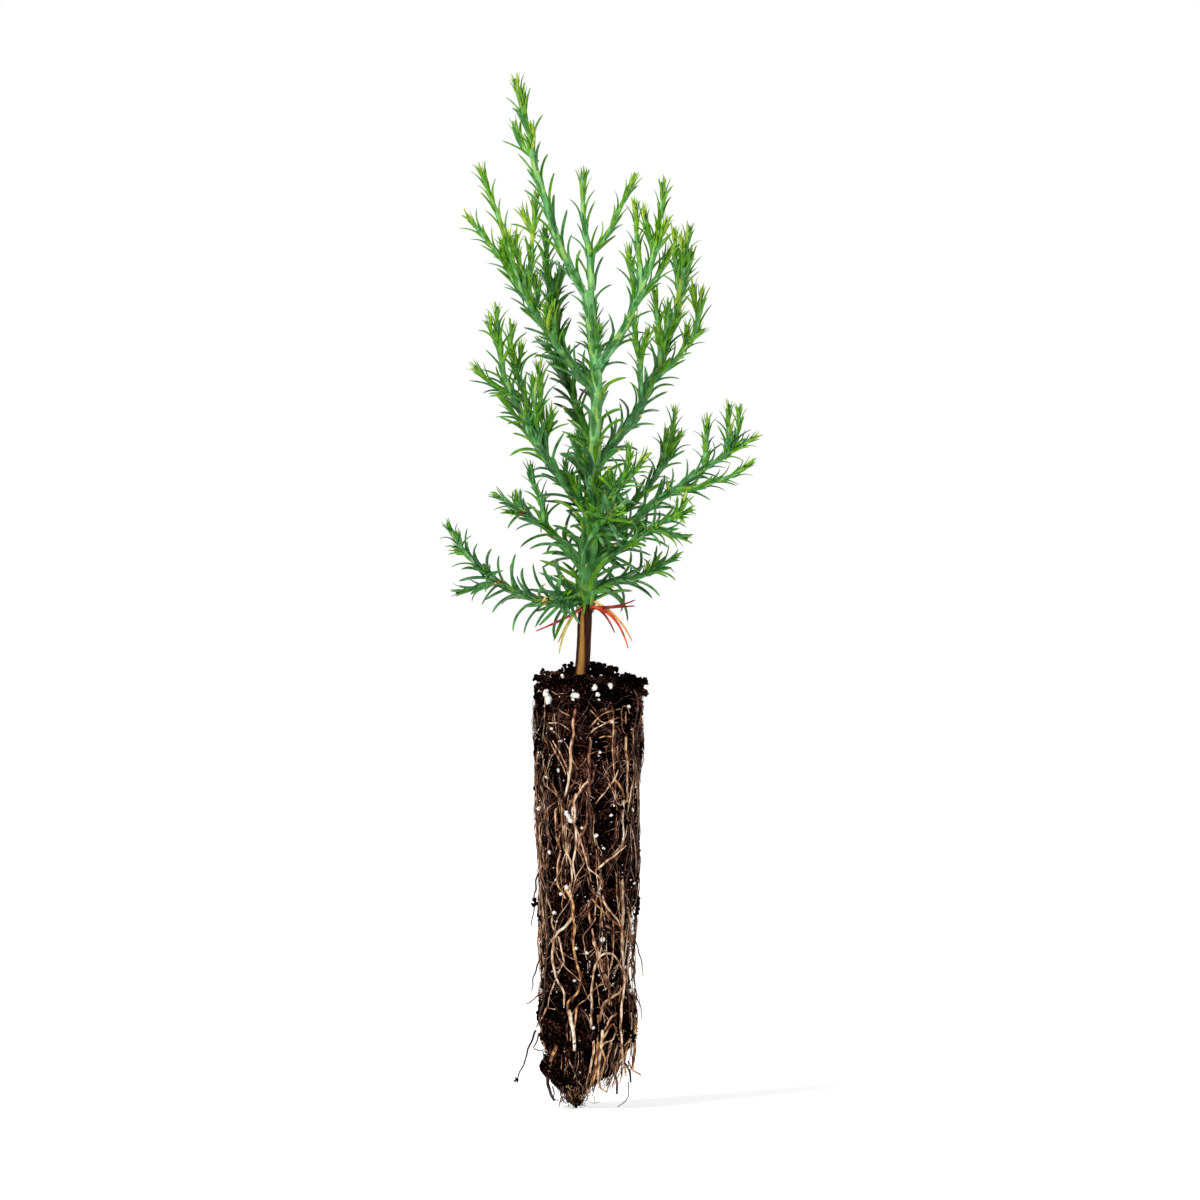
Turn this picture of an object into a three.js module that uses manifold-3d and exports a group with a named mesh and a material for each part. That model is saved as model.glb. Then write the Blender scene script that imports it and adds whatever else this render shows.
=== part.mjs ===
// A young giant sequoia, about 31 cm tall, standing on the root plug that it was raised in.
// Millimetres, +Z up. The origin is the middle of the plug's flat underside,
// +X is the plant's right and -Y its front. Heights on the trunk are above the soil.

import * as THREE from 'three';
import { mergeVertices } from 'three/addons/utils/BufferGeometryUtils.js';
import Module from 'manifold-3d';

const wasm = await Module();
wasm.setup();

// Driving dimensions

const GAP = 0.3; // between neighbouring pieces
const ROOM = GAP + 0.03; // added to a limb's radius, because its flats lie nearer than its edges
const SOIL = 129.6; // plug's underside to the trunk's flat foot
const FORK = 115.8; // trunk's foot to its fork

// The trunk's middle line as [x, height]: it bows to the right and back.
const TRUNK_BOW = [[-1.8, 0], [-0.6, 23], [1.8, 59], [2.7, 88], [1.2, 105], [-0.3, FORK]];
// Radii as [height, radius]: bark below, a thinner stem inside the leaf sheath above.
const TRUNK_RADII = [[0, 2.5], [3, 2.15], [21, 2.1], [26, 1.75], [60, 1.3], [80, 1], [FORK, 0.8]];
const SHEATH_RADII = [[22, 2.5], [26, 3.2], [48, 3], [66, 2.2], [90, 1.9], [FORK, 1.75]];

// The plug's outline as [height, radius]: foot, waist over the foot, bulge and rim.
const PLUG_RADII = [
  [0, 6], [3, 7.2], [6, 8.7], [9, 10], [13, 11.6], [17, 12.8], [21, 14.2], [27, 15],
  [38, 13.8], [70, 15], [100, 15.7], [122, 16.6], [127.6, 15.4],
];
// The narrow foot's shift along X, by height: its flat lies under the centre of mass.
const PLUG_SHIFT = [[0, 0], [3, -0.6], [8, -1.6], [13, -1.4], [21, 0]];
const PLUG_SIDES = 20;
const PLUG_RINGS = [0, 3, 6, 9, 13, 17, 21, 27, 34, 42, 54, 66, 78, 90, 100, 111, 122, 127.6]; // heights
const PLUG_ROUGHNESS = 0.22;
const PLUG_FOOT_BLEND = 12; // height over which the roughness grows from the flat foot
const SEAT_RADIUS = 6; // flat soil round the trunk's foot
const SHOULDER_RADIUS = 10; // where the soil starts to fall to the rim
const SHOULDER_FALL = 0.5;

const TRUNK_SIDES = 8;
const TRUNK_RING_SPACING = 6;
const BOUGH_SIDES = 6;
const TWIG_SIDES = 3;
const RING_SPACING = 5.5; // between the rings of a limb
const TWIG_RING_SPACING = 7;
const LEAF_SPACING = 5.2; // along a twig
const LEAF_TURN = THREE.MathUtils.degToRad(137.5);
const LEAF_TURN_SPREAD = 0.6; // in radians, at random
const LEAF_SIZE_SPREAD = 0.3; // share of its length and angle, at random
const LEAF_ANGLES = [52, 30]; // from its twig, at the twig's foot and tip
const LEAF_BEND = 0.1; // of its length
const LEAF_WIDTH = 1.4;
const LEAF_THICKNESS = 0.9;
const LEAF_ROOT = 0.4; // past the stem's middle line
const TIP_LEAVES = 2; // leaves past the end of a stem, counted in its tip
const TWIG_RADIUS = 0.95; // of a side shoot at its foot
const TWIG_TAPER = 0.45;
const BOUGH_TAPER = 0.6;
const TOP_TAPER = 0.5;
const STEM_PULL = 0.35; // share of its span over which a stem keeps the slope of each end
const STEM_DIP = 18; // degrees below its span at which a side shoot leaves
const STEM_LIFT = 8; // degrees above its span at which it ends
const SHOOT_LEAF_AGE = 0.6; // how far a side shoot's oldest leaves are from the bough's to its tip's
const ROD_SPACING = 3;

// Colours

const COLOURS = {
  plug: '#3c2a1c',
  bark: '#5a2c28',
  green: '#3f7a42',
  dark: '#2a5c3c',
  young: '#6fa53c',
};

// Boughs. Each leaves the trunk at a height and ends at a tip, told from where it starts.
// rise and end are its slopes in degrees there, bare is the share of it that is a limb,
// foot is its radius at the trunk, and leaf its leaves' length from the limb to the tip.
// A shoot starts at a share of its parent's length, and may carry shoots of its own.

const BOUGHS = [
  {
    name: 'right_upper', height: 92, tip: [20.7, -15, 57],
    rise: 46, end: 90, bare: 0.3, foot: 1.5, leaf: [8, 5.5],
    shoots: [
      { at: 0.4, tip: [-2.4, 5, 18] },
      { at: 0.45, tip: [-1.8, -5, 28.5], rise: 96, end: 90 },
      { at: 0.4, tip: [11.7, 4, 18], rise: 44, end: 64 },
      { at: 0.66, tip: [4.5, -4, 11] },
      { at: 0.62, tip: [-3, -3, 17], rise: 116, end: 94 },
    ],
  },
  {
    name: 'right_middle', height: 63.6, tip: [29.3, 19, 74],
    rise: 38, end: 84, bare: 0.28, foot: 1.6, leaf: [9, 5.5],
    shoots: [
      {
        at: 0.3, tip: [-2.1, -6, 28.5], rise: 90, end: 94,
        shoots: [{ at: 0.55, tip: [3.8, -4, 8.7] }],
      },
      {
        at: 0.4, tip: [16.2, -6, 16.8], rise: 40, end: 46,
        shoots: [{ at: 0.76, tip: [3.9, -3, 17.5] }, { at: 0.66, tip: [0.9, 4, 8.7] }],
      },
      { at: 0.46, tip: [-1.8, 6, 25.5], rise: 104, end: 88 },
      { at: 0.49, tip: [1.8, -6, 19], rise: 86, end: 90 },
      { at: 0.72, tip: [4.8, 4, 17] },
    ],
  },
  {
    name: 'right_long', height: 37.8, tip: [52.4, 12, 35.6],
    rise: 33, end: 29, bare: 0.3, foot: 1.5, leaf: [10, 6],
    shoots: [
      { at: 0.48, tip: [-0.3, -6, 4] },
      { at: 0.51, tip: [25, -8, 8.7], rise: 2, end: 38 },
      { at: 0.69, tip: [1.2, 5, 17.1] },
      { at: 0.82, tip: [0.8, -4, 17] },
      { at: 0.84, tip: [3.4, 4, 15.5] },
    ],
  },
  {
    name: 'right_back', height: 44, tip: [26.4, 24, 38.4],
    rise: 14, end: 92, bare: 0.4, foot: 1.35, leaf: [9, 6],
    shoots: [
      { at: 0.66, tip: [7, 5, 11] },
      { at: 0.68, tip: [1.8, -4, 11.4] },
      { at: 0.78, tip: [1.5, 4, 6] },
    ],
  },
  {
    name: 'right_front', height: 47.5, tip: [11.8, -19, 23],
    rise: 30, end: 98, bare: 0.35, foot: 1.25, leaf: [9, 6],
    shoots: [
      { at: 0.5, tip: [-3, -6, 7] },
      { at: 0.6, tip: [9.6, -4, 10] },
    ],
  },
  {
    name: 'right_low', height: 33, tip: [32.4, -14, 17.7],
    rise: 22, end: 20, bare: 0.38, foot: 1.35, leaf: [11, 6],
    shoots: [
      { at: 0.56, tip: [5, -9, 3] },
      { at: 0.6, tip: [13.5, 5, -3], rise: -2, end: -10 },
      { at: 0.88, tip: [2.4, -3, -1.8] },
    ],
  },
  {
    name: 'right_lowest', height: 27.3, tip: [29.4, 17, 10],
    rise: 0, end: 34, bare: 0.4, foot: 1.25, leaf: [12, 7],
    shoots: [
      { at: 0.55, tip: [3, -3, 4.8] },
      { at: 0.65, tip: [3, 9, 5] },
    ],
  },
  {
    name: 'left_upper', height: 84.6, tip: [-39.6, -17, 54],
    rise: 43, end: 46, bare: 0.25, foot: 1.5, leaf: [8.5, 5.5],
    shoots: [
      { at: 0.28, tip: [-2.4, -6, 13.5] },
      { at: 0.42, tip: [-1.8, 5, 16] },
      { at: 0.52, tip: [2.2, 13, 34.6], rise: 88, end: 78 },
      { at: 0.56, tip: [-5.4, -7, 20] },
      { at: 0.6, tip: [-12.3, 2, 37.5], rise: 72, end: 66 },
      { at: 0.54, tip: [-3, -3, 21], rise: 86, end: 116 },
    ],
  },
  {
    name: 'left_back', height: 67.8, tip: [-15.6, 25, 69.5],
    rise: 48, end: 86, bare: 0.3, foot: 1.3, leaf: [8, 6],
    shoots: [
      { at: 0.32, tip: [-6.3, -3, 9.6] },
      { at: 0.44, tip: [-8.4, 3, 7] },
      { at: 0.52, tip: [-2, 9, 15] },
      { at: 0.66, tip: [3, 6, 15] },
    ],
  },
  {
    name: 'left_middle', height: 48.3, tip: [-29.1, -16, 63.6],
    rise: 43, end: 92, bare: 0.3, foot: 1.5, leaf: [10, 6],
    shoots: [
      {
        at: 0.31, tip: [-2.4, 4, 31.5], rise: 86, end: 94,
        shoots: [{ at: 0.22, tip: [2.7, -4, 10] }],
      },
      { at: 0.38, tip: [-1.5, -6, 22.5], rise: 92, end: 92 },
      {
        at: 0.45, tip: [-5.7, 6, 34.5], rise: 90, end: 102,
        shoots: [{ at: 0.55, tip: [1.6, 2, 11] }],
      },
      { at: 0.5, tip: [-8.6, -4, 9], rise: 24, end: 56 },
      { at: 0.63, tip: [-12.6, 1, 9.5], rise: 20, end: 46 },
    ],
  },
  {
    name: 'left_low', height: 33, tip: [-30, 18, 23],
    rise: 38, end: 24, bare: 0.38, foot: 1.35, leaf: [11, 6],
    shoots: [
      { at: 0.5, tip: [-4.2, 6, 20.5], rise: 108, end: 86 },
      { at: 0.72, tip: [-6, -5, 0] },
      { at: 0.7, tip: [-3, 7, 7] },
    ],
  },
  {
    name: 'left_lowest', height: 22.8, tip: [-43, -15, 23.7],
    rise: -11, end: 66, bare: 0.4, foot: 1.4, leaf: [12.5, 6.5],
    shoots: [
      { at: 0.54, tip: [-15, 4, -3.2], rise: -4, end: -4 },
      { at: 0.62, tip: [-1, -9, 1.5] },
      { at: 0.8, tip: [-4.8, 4, 1.2] },
      { at: 0.85, tip: [-0.9, -4, 5] },
    ],
  },
  {
    name: 'front', height: 40.5, tip: [7.8, -29, 9],
    rise: 22, end: 2, bare: 0.4, foot: 1.25, leaf: [10, 7],
    shoots: [
      { at: 0.6, tip: [6, -7, 3] },
      { at: 0.68, tip: [-5, -7, 2] },
    ],
  },
  {
    name: 'front_lowest', height: 24.4, tip: [-14, -22, -2.4],
    rise: 6, end: -14, bare: 0.4, foot: 1.25, leaf: [13, 10],
    shoots: [{ at: 0.62, tip: [3, -8, 1] }],
  },
  {
    name: 'back_upper', height: 80, tip: [-1.5, 24, 36],
    rise: 45, end: 82, bare: 0.32, foot: 1.2, leaf: [8, 5],
    shoots: [
      { at: 0.42, tip: [2, 9, 9] },
      { at: 0.55, tip: [-2, 8, 14] },
      { at: 0.7, tip: [0.5, 7, 10] },
    ],
  },
  {
    name: 'back_middle', height: 52, tip: [-4, 34, 27],
    rise: 25, end: 62, bare: 0.35, foot: 1.3, leaf: [9, 6],
    shoots: [
      { at: 0.45, tip: [-5, 8, 12] },
      { at: 0.55, tip: [4, 10, 10] },
      { at: 0.72, tip: [-2, 8, 7] },
    ],
  },
  {
    name: 'back_low', height: 36, tip: [7, 35, 17],
    rise: 12, end: 48, bare: 0.38, foot: 1.3, leaf: [11, 6],
    shoots: [
      { at: 0.5, tip: [7, 8, 6] },
      { at: 0.58, tip: [-7, 9, 9] },
      { at: 0.75, tip: [3, 7, 8] },
    ],
  },
];

// Tops, which grow from the trunk's fork. side is where their stems stand on it.

const TOPS = [
  {
    name: 'leader', side: -1, foot: 1.45, tip: [-20.4, -3, 64.6],
    rise: 59, end: 76, leaf: [8, 6],
    shoots: [
      { at: 0.64, tip: [-6.5, 2, 11.5] },
      { at: 0.68, tip: [0.2, -5, 8] },
      { at: 0.82, tip: [-0.6, -3, 9] },
    ],
  },
  {
    name: 'second_top', side: 1, foot: 1.3, tip: [-2.7, 3, 37.2],
    rise: 86, end: 96, leaf: [7, 5],
    shoots: [{ at: 0.28, tip: [14.4, -3, 25], rise: 44, end: 62 }],
  },
];

// Sheath of leaf bases round the trunk, as stretches of its height. leaf is the needles'
// length from the stretch's foot to its head, angle how they stand from the trunk, and sunk
// how much of each is inside the sheath.

const SHEATHS = [
  { name: 'sheath_low', from: 22, to: 57, leaf: [15, 12], angle: 68, count: 34, sunk: 4 },
  { name: 'sheath_middle', from: 57, to: 86, leaf: [10, 8], angle: 50, count: 18, sunk: 3 },
  { name: 'sheath_upper', from: 86, to: 112.5, leaf: [8, 6], angle: 45, count: 14, sunk: 2.5 },
];

// Thick roots on the plug's side: bearing in degrees, height of each end, sideways drift and radius.

const ROOTS = [
  { bearing: 248, top: 122, foot: 92, drift: -6, radius: 0.75 },
  { bearing: 300, top: 96, foot: 66, drift: 8, radius: 0.8 },
  { bearing: 285, top: 76, foot: 38, drift: -7, radius: 0.7 },
  { bearing: 232, top: 60, foot: 20, drift: 8, radius: 0.7 },
  { bearing: 20, top: 104, foot: 52, drift: -9, radius: 0.75 },
  { bearing: 110, top: 112, foot: 60, drift: 8, radius: 0.75 },
  { bearing: 160, top: 80, foot: 28, drift: -8, radius: 0.7 },
];
const HANGING_ROOTS = [
  { bearing: 186, top: 34, foot: 2.5, reach: 12.6, radius: 0.8 },
  { bearing: 218, top: 24, foot: 1.5, reach: 10.6, radius: 0.9 },
  { bearing: 330, top: 30, foot: 6, reach: 11.6, radius: 0.8 },
  { bearing: 352, top: 34, foot: 11, reach: 14.6, radius: 0.7 },
  { bearing: 60, top: 28, foot: 3, reach: 11, radius: 0.9 },
  { bearing: 125, top: 28, foot: 2, reach: 11.4, radius: 0.8 },
];
const KNEE_HEIGHT = 16; // where the hanging roots turn down
const ROOT_SIDES = 4;
const ROOT_RING_SPACING = 9;
const CRUMB_COUNT = 13;
const CRUMB_SIZES = [1.6, 3];
const CRUMB_RING = [7.5, 13.6]; // nearest and furthest from the middle
const GRAIN_FLATNESS = 0.8;
const PERLITE = [
  { bearing: 222, height: 123, size: 2.1 },
  { bearing: 258, height: 123.4, size: 1.4 },
  { bearing: 295, height: 62, size: 1.3 },
  { bearing: 310, height: 52, size: 1.4 },
  { bearing: 70, height: 98, size: 1.5 },
  { bearing: 145, height: 48, size: 1.4 },
];

// Small helpers

const UP = new THREE.Vector3(0, 0, 1);

function seeded(seed) {
  let state = seed;
  return () => {
    state = (Math.imul(state, 1664525) + 1013904223) >>> 0;
    return state / 4294967296;
  };
}

// The value at a place on a list of [place, value] stations.
function onStations(stations, place) {
  const last = stations.length - 1;
  const next = stations.findIndex((station) => station[0] >= place);
  if (next <= 0) {
    return next === 0 ? stations[0][1] : stations[last][1];
  }
  const [from, low] = stations[next - 1];
  const [to, high] = stations[next];
  return THREE.MathUtils.mapLinear(place, from, to, low, high);
}

function polar(radius, degrees, height) {
  const angle = THREE.MathUtils.degToRad(degrees);
  return new THREE.Vector3(radius * Math.cos(angle), radius * Math.sin(angle), height);
}

// The part of a curve between two shares of its length.
class Stretch extends THREE.Curve {
  constructor(whole, from, to) {
    super();
    this.whole = whole;
    this.from = from;
    this.to = to;
  }

  getPoint(share) {
    return this.whole.getPointAt(THREE.MathUtils.lerp(this.from, this.to, share));
  }
}

// Solids

function solidOf(geometry) {
  geometry.deleteAttribute('normal');
  geometry.deleteAttribute('uv');
  const welded = mergeVertices(geometry, 1e-5);
  return new wasm.Manifold(new wasm.Mesh({
    numProp: 3,
    vertProperties: Float32Array.from(welded.attributes.position.array),
    triVerts: Uint32Array.from(welded.index.array),
  }));
}

// Joins pieces into one body: a sealed hollow is filled and a loose scrap dropped.
function fuse(pieces) {
  const bodies = wasm.Manifold.union(pieces).decompose();
  bodies.sort((a, b) => b.volume() - a.volume());
  return bodies[0];
}

function nodeOf(name, solid, colour, roughness = 0.6) {
  const { vertProperties, triVerts } = solid.getMesh();
  const geometry = new THREE.BufferGeometry();
  geometry.setAttribute('position', new THREE.BufferAttribute(vertProperties, 3));
  geometry.setIndex(new THREE.BufferAttribute(triVerts, 1));
  geometry.computeVertexNormals();
  const material = new THREE.MeshStandardMaterial({ color: colour, roughness, metalness: 0 });
  const mesh = new THREE.Mesh(geometry, material);
  mesh.name = name;
  return mesh;
}

// A round limb along a curve: a cylinder bent to it, with its radius told by radiusAt(share).
function limb(curve, radiusAt, sides, spacing = RING_SPACING) {
  const rings = Math.max(1, Math.round(curve.getLength() / spacing));
  const geometry = new THREE.CylinderGeometry(1, 1, 1, sides, rings);
  const frames = curve.computeFrenetFrames(rings, false);
  const position = geometry.attributes.position;
  for (let i = 0; i < position.count; i += 1) {
    const ring = Math.round((position.getY(i) + 0.5) * rings);
    const share = ring / rings;
    const radius = radiusAt(share);
    const point = curve.getPointAt(share);
    point.addScaledVector(frames.normals[ring], position.getX(i) * radius);
    point.addScaledVector(frames.binormals[ring], -position.getZ(i) * radius);
    position.setXYZ(i, point.x, point.y, point.z);
  }
  return solidOf(geometry);
}

// A keeled, awl-shaped leaf of three sides from its root to its tip, with its middle
// pushed aside to bend it.
const LEAF_PROFILE = [new THREE.Vector2(0, -1), new THREE.Vector2(1, 0), new THREE.Vector2(0, 1)];

function leafSolid(root, tip, bend) {
  const along = tip.clone().sub(root);
  const side = new THREE.Vector3().crossVectors(along, bend).normalize();
  const face = new THREE.Vector3().crossVectors(side, along).normalize();
  const middle = root.clone().lerp(tip, 0.6).add(bend);
  const geometry = new THREE.LatheGeometry(LEAF_PROFILE, 3);
  const position = geometry.attributes.position;
  for (let i = 0; i < position.count; i += 1) {
    const end = position.getY(i);
    const point = [root, middle, tip][Math.round(end) + 1].clone();
    point.addScaledVector(side, position.getX(i) * LEAF_WIDTH * 0.5);
    point.addScaledVector(face, position.getZ(i) * LEAF_THICKNESS * 0.5);
    position.setXYZ(i, point.x, point.y, point.z);
  }
  return solidOf(geometry);
}

// Space. Every limb and leaf takes its place as a rod, and a leaf that would come
// nearer than the gap to another node's rod is skipped. The first rods of a limb
// can be left out where it lies hidden in the leaf sheath.

const rods = [];

function rodsOfCurve(owner, curve, radiusAt, hidden = 0) {
  const count = Math.max(1, Math.round(curve.getLength() / ROD_SPACING));
  for (let i = hidden; i < count; i += 1) {
    const start = curve.getPointAt(i / count);
    const end = curve.getPointAt((i + 1) / count);
    rods.push({ owner, start, end, radius: radiusAt(i / count) });
  }
}

// The shortest distance between two straight rods.
function rodDistance(a, b) {
  const u = a.end.clone().sub(a.start);
  const v = b.end.clone().sub(b.start);
  const w = a.start.clone().sub(b.start);
  const uu = u.dot(u);
  const uv = u.dot(v);
  const vv = v.dot(v);
  const spread = uu * vv - uv * uv;
  let s = spread > 1e-9 ? (uv * v.dot(w) - vv * u.dot(w)) / spread : 0;
  s = THREE.MathUtils.clamp(s, 0, 1);
  const t = THREE.MathUtils.clamp((uv * s + v.dot(w)) / vv, 0, 1);
  s = THREE.MathUtils.clamp((uv * t - u.dot(w)) / uu, 0, 1);
  const near = a.start.clone().addScaledVector(u, s);
  return near.distanceTo(b.start.clone().addScaledVector(v, t));
}

function isClear(rod, friends) {
  return rods.every((other) => other.owner === rod.owner || friends.includes(other.owner)
    || rodDistance(rod, other) > rod.radius + other.radius + GAP);
}

// Growth

// A stem from a place to its tip, which leaves and arrives at the slopes given in degrees.
function stemCurve(start, offset, rise, end) {
  const chord = new THREE.Vector3(...offset);
  chord.setLength(chord.length() - TIP_LEAVES);
  const outward = new THREE.Vector3(chord.x, chord.y, 0).normalize();
  const slope = THREE.MathUtils.radToDeg(Math.atan2(chord.z, Math.hypot(chord.x, chord.y)));
  const reach = chord.length() * STEM_PULL;
  const heading = (degrees) => {
    const angle = THREE.MathUtils.degToRad(degrees);
    const level = outward.clone().multiplyScalar(Math.cos(angle) * reach);
    return level.addScaledVector(UP, Math.sin(angle) * reach);
  };
  const tip = start.clone().add(chord);
  const leaving = start.clone().add(heading(rise ?? slope - STEM_DIP));
  const arriving = tip.clone().sub(heading(end ?? slope + STEM_LIFT));
  return new THREE.CubicBezierCurve3(start, leaving, arriving, tip);
}

// Leaves in a spiral up a stem. rule holds their count and first turn, their length and
// angle along the stem, their bend, and how much of each is sunk inside the stem.
function growLeaves(owner, curve, rule, random, friends) {
  const frames = curve.computeFrenetFrames(rule.count, false);
  const leaves = [];
  for (let i = 1; i <= rule.count; i += 1) {
    const share = i / (rule.count + 0.5);
    const turn = i * LEAF_TURN + rule.start + (random() - 0.5) * LEAF_TURN_SPREAD;
    const length = rule.lengthAt(share) * (1 + (random() - 0.5) * LEAF_SIZE_SPREAD);
    const angle = THREE.MathUtils.degToRad(rule.angleAt(share) * (1 + (random() - 0.5) * LEAF_SIZE_SPREAD));
    const root = curve.getPointAt(share);
    const out = frames.normals[i].clone().multiplyScalar(Math.cos(turn));
    out.addScaledVector(frames.binormals[i], Math.sin(turn));
    const along = curve.getTangentAt(share);
    const tip = root.clone().addScaledVector(along, length * Math.cos(angle));
    tip.addScaledVector(out, length * Math.sin(angle));
    const bend = out.clone().multiplyScalar(length * rule.bend);
    bend.addScaledVector(along, -length * rule.bend * 0.5);
    const skin = root.clone().lerp(tip, rule.sunk / length);
    root.lerp(tip, -LEAF_ROOT / length);
    const rod = { owner, start: skin, end: tip, radius: (LEAF_WIDTH + length * rule.bend) * 0.5 };
    if (isClear(rod, friends)) {
      rods.push(rod);
      leaves.push(leafSolid(root, tip, bend));
    }
  }
  return leaves;
}

// Every stem of a mass: the main one and its shoots, each with its radius and leaf lengths.
function stemsOf(main, shoots, leaf) {
  const stems = [main];
  for (const shoot of shoots) {
    const start = main.whole.getPointAt(shoot.at);
    const curve = stemCurve(start, shoot.tip, shoot.rise, shoot.end);
    const oldest = THREE.MathUtils.lerp(leaf[0], leaf[1], SHOOT_LEAF_AGE);
    const stem = {
      whole: curve,
      curve,
      radiusAt: (share) => TWIG_RADIUS * (1 - TWIG_TAPER * share),
      leaf: [oldest, leaf[1]],
    };
    stems.push(...stemsOf(stem, shoot.shoots ?? [], leaf));
  }
  return stems;
}

// Sets a mass's stems out in space, to be leafed when every stem stands.
function planMass(name, main, shoots, leaf, colour) {
  const stems = stemsOf(main, shoots, leaf);
  stems.forEach((stem) => rodsOfCurve(name, stem.curve, stem.radiusAt));
  return { name, stems, colour };
}

function massNode(plan, seed) {
  const random = seeded(seed);
  const pieces = [];
  for (const stem of plan.stems) {
    const length = stem.curve.getLength();
    const rule = {
      count: Math.max(3, Math.round(length / LEAF_SPACING)),
      start: random() * 6,
      lengthAt: (share) => THREE.MathUtils.lerp(stem.leaf[0], stem.leaf[1], share),
      angleAt: (share) => THREE.MathUtils.lerp(LEAF_ANGLES[0], LEAF_ANGLES[1], share),
      bend: LEAF_BEND,
      sunk: 0,
    };
    pieces.push(limb(stem.curve, stem.radiusAt, TWIG_SIDES, TWIG_RING_SPACING));
    pieces.push(...growLeaves(plan.name, stem.curve, rule, random, []));
  }
  return nodeOf(plan.name, fuse(pieces), plan.colour);
}

// Trunk

const trunkCurve = new THREE.CatmullRomCurve3(
  TRUNK_BOW.map(([x, height]) => new THREE.Vector3(x, 0, SOIL + height)),
);

// The share of the trunk's length at a height above the soil: its bow is slight.
const trunkShare = (height) => height / FORK;

function trunkLimb(from, to, radii, extra) {
  const stretch = new Stretch(trunkCurve, trunkShare(from), trunkShare(to));
  const radiusAt = (share) => onStations(radii, THREE.MathUtils.lerp(from, to, share)) + extra;
  return limb(stretch, radiusAt, TRUNK_SIDES, TRUNK_RING_SPACING);
}

function trunkNode() {
  return nodeOf('trunk', trunkLimb(0, FORK, TRUNK_RADII, 0), COLOURS.bark, 0.8);
}

// Boughs and the masses that they carry

const roomForTrunk = trunkLimb(0, FORK, TRUNK_RADII, ROOM);

function boughPlan(bough) {
  const start = trunkCurve.getPointAt(trunkShare(bough.height));
  const whole = stemCurve(start, bough.tip, bough.rise, bough.end);
  const radius = (share) => bough.foot * (1 - BOUGH_TAPER * share);
  const gapShare = GAP / whole.getLength();
  const lower = new Stretch(whole, 0, bough.bare);
  const upper = new Stretch(whole, bough.bare + gapShare, 1);
  const lowerRadius = (share) => radius(share * bough.bare);
  rodsOfCurve(`${bough.name}_bough`, lower, lowerRadius, 1);
  const main = {
    whole,
    curve: upper,
    radiusAt: (share) => radius(THREE.MathUtils.lerp(bough.bare, 1, share)),
    leaf: bough.leaf,
  };
  const mass = planMass(`${bough.name}_foliage`, main, bough.shoots, bough.leaf, COLOURS.green);
  return { ...mass, lower, lowerRadius };
}

function boughNode(bough, plan) {
  const solid = limb(plan.lower, plan.lowerRadius, BOUGH_SIDES).subtract(roomForTrunk);
  return nodeOf(`${bough.name}_bough`, fuse([solid]), COLOURS.dark);
}

function topPlan(top) {
  const start = trunkCurve.getPointAt(1).clone();
  start.x += top.side * (top.foot + GAP / 2);
  start.z += GAP;
  const whole = stemCurve(start, top.tip, top.rise, top.end);
  const main = {
    whole,
    curve: whole,
    radiusAt: (share) => top.foot * (1 - TOP_TAPER * share),
    leaf: top.leaf,
  };
  return planMass(top.name, main, top.shoots, top.leaf, COLOURS.young);
}

// Sheaths

function sheathNode(sheath, seed, roomForBoughs) {
  const random = seeded(seed);
  const stretch = new Stretch(trunkCurve, trunkShare(sheath.from), trunkShare(sheath.to));
  const rule = {
    count: sheath.count,
    start: 0,
    lengthAt: (share) => THREE.MathUtils.lerp(sheath.leaf[0], sheath.leaf[1], share),
    angleAt: () => sheath.angle,
    bend: LEAF_BEND,
    sunk: sheath.sunk,
  };
  const core = trunkLimb(sheath.from, sheath.to - GAP, SHEATH_RADII, 0);
  const leaves = growLeaves(sheath.name, stretch, rule, random, ['trunk']);
  const whole = wasm.Manifold.union([core, ...leaves]);
  const cut = wasm.Manifold.difference([whole, roomForTrunk, ...roomForBoughs]);
  return nodeOf(sheath.name, fuse([cut]), COLOURS.green);
}

// Root plug

// Waves round and up the plug's side, which make it uneven.
const WAVES = [
  { round: 3, up: 0.11, shift: 0.4 },
  { round: 5, up: -0.185, shift: 2.1 },
  { round: 8, up: 0.265, shift: 4.4 },
  { round: 13, up: 0.07, shift: 1.2 },
];

function plugRadius(bearing, height) {
  const angle = THREE.MathUtils.degToRad(bearing);
  const heave = (sum, wave) => sum + Math.sin(wave.round * angle + wave.up * height + wave.shift);
  const fade = THREE.MathUtils.smoothstep(height, 0, PLUG_FOOT_BLEND);
  return onStations(PLUG_RADII, height) + PLUG_ROUGHNESS * WAVES.reduce(heave, 0) * fade;
}

// A place on the plug's side, or over it by the lift.
function onPlug(bearing, height, lift = 0) {
  const place = polar(plugRadius(bearing, height) + lift, bearing, height);
  place.x += onStations(PLUG_SHIFT, height);
  return place;
}

function plugCore() {
  const top = SOIL - GAP;
  const rim = PLUG_RINGS[PLUG_RINGS.length - 1];
  const profile = [new THREE.Vector2(0, 0)];
  PLUG_RINGS.forEach((height) => {
    profile.push(new THREE.Vector2(onStations(PLUG_RADII, height), height));
  });
  profile.push(new THREE.Vector2(SHOULDER_RADIUS, top - SHOULDER_FALL), new THREE.Vector2(SEAT_RADIUS, top));
  profile.push(new THREE.Vector2(0, top));
  const geometry = new THREE.LatheGeometry(profile, PLUG_SIDES);
  geometry.rotateX(Math.PI / 2);
  const position = geometry.attributes.position;
  for (let i = 0; i < position.count; i += 1) {
    const height = position.getZ(i);
    const radius = Math.hypot(position.getX(i), position.getY(i));
    if (height <= rim + 0.01 && radius > 0.01) {
      // Rounded, so that the two columns of vertices at the seam stay together.
      const bearing = Math.round(THREE.MathUtils.radToDeg(Math.atan2(position.getY(i), position.getX(i))));
      const place = onPlug(bearing, height);
      position.setXYZ(i, place.x, place.y, place.z);
    }
  }
  return solidOf(geometry);
}

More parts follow.
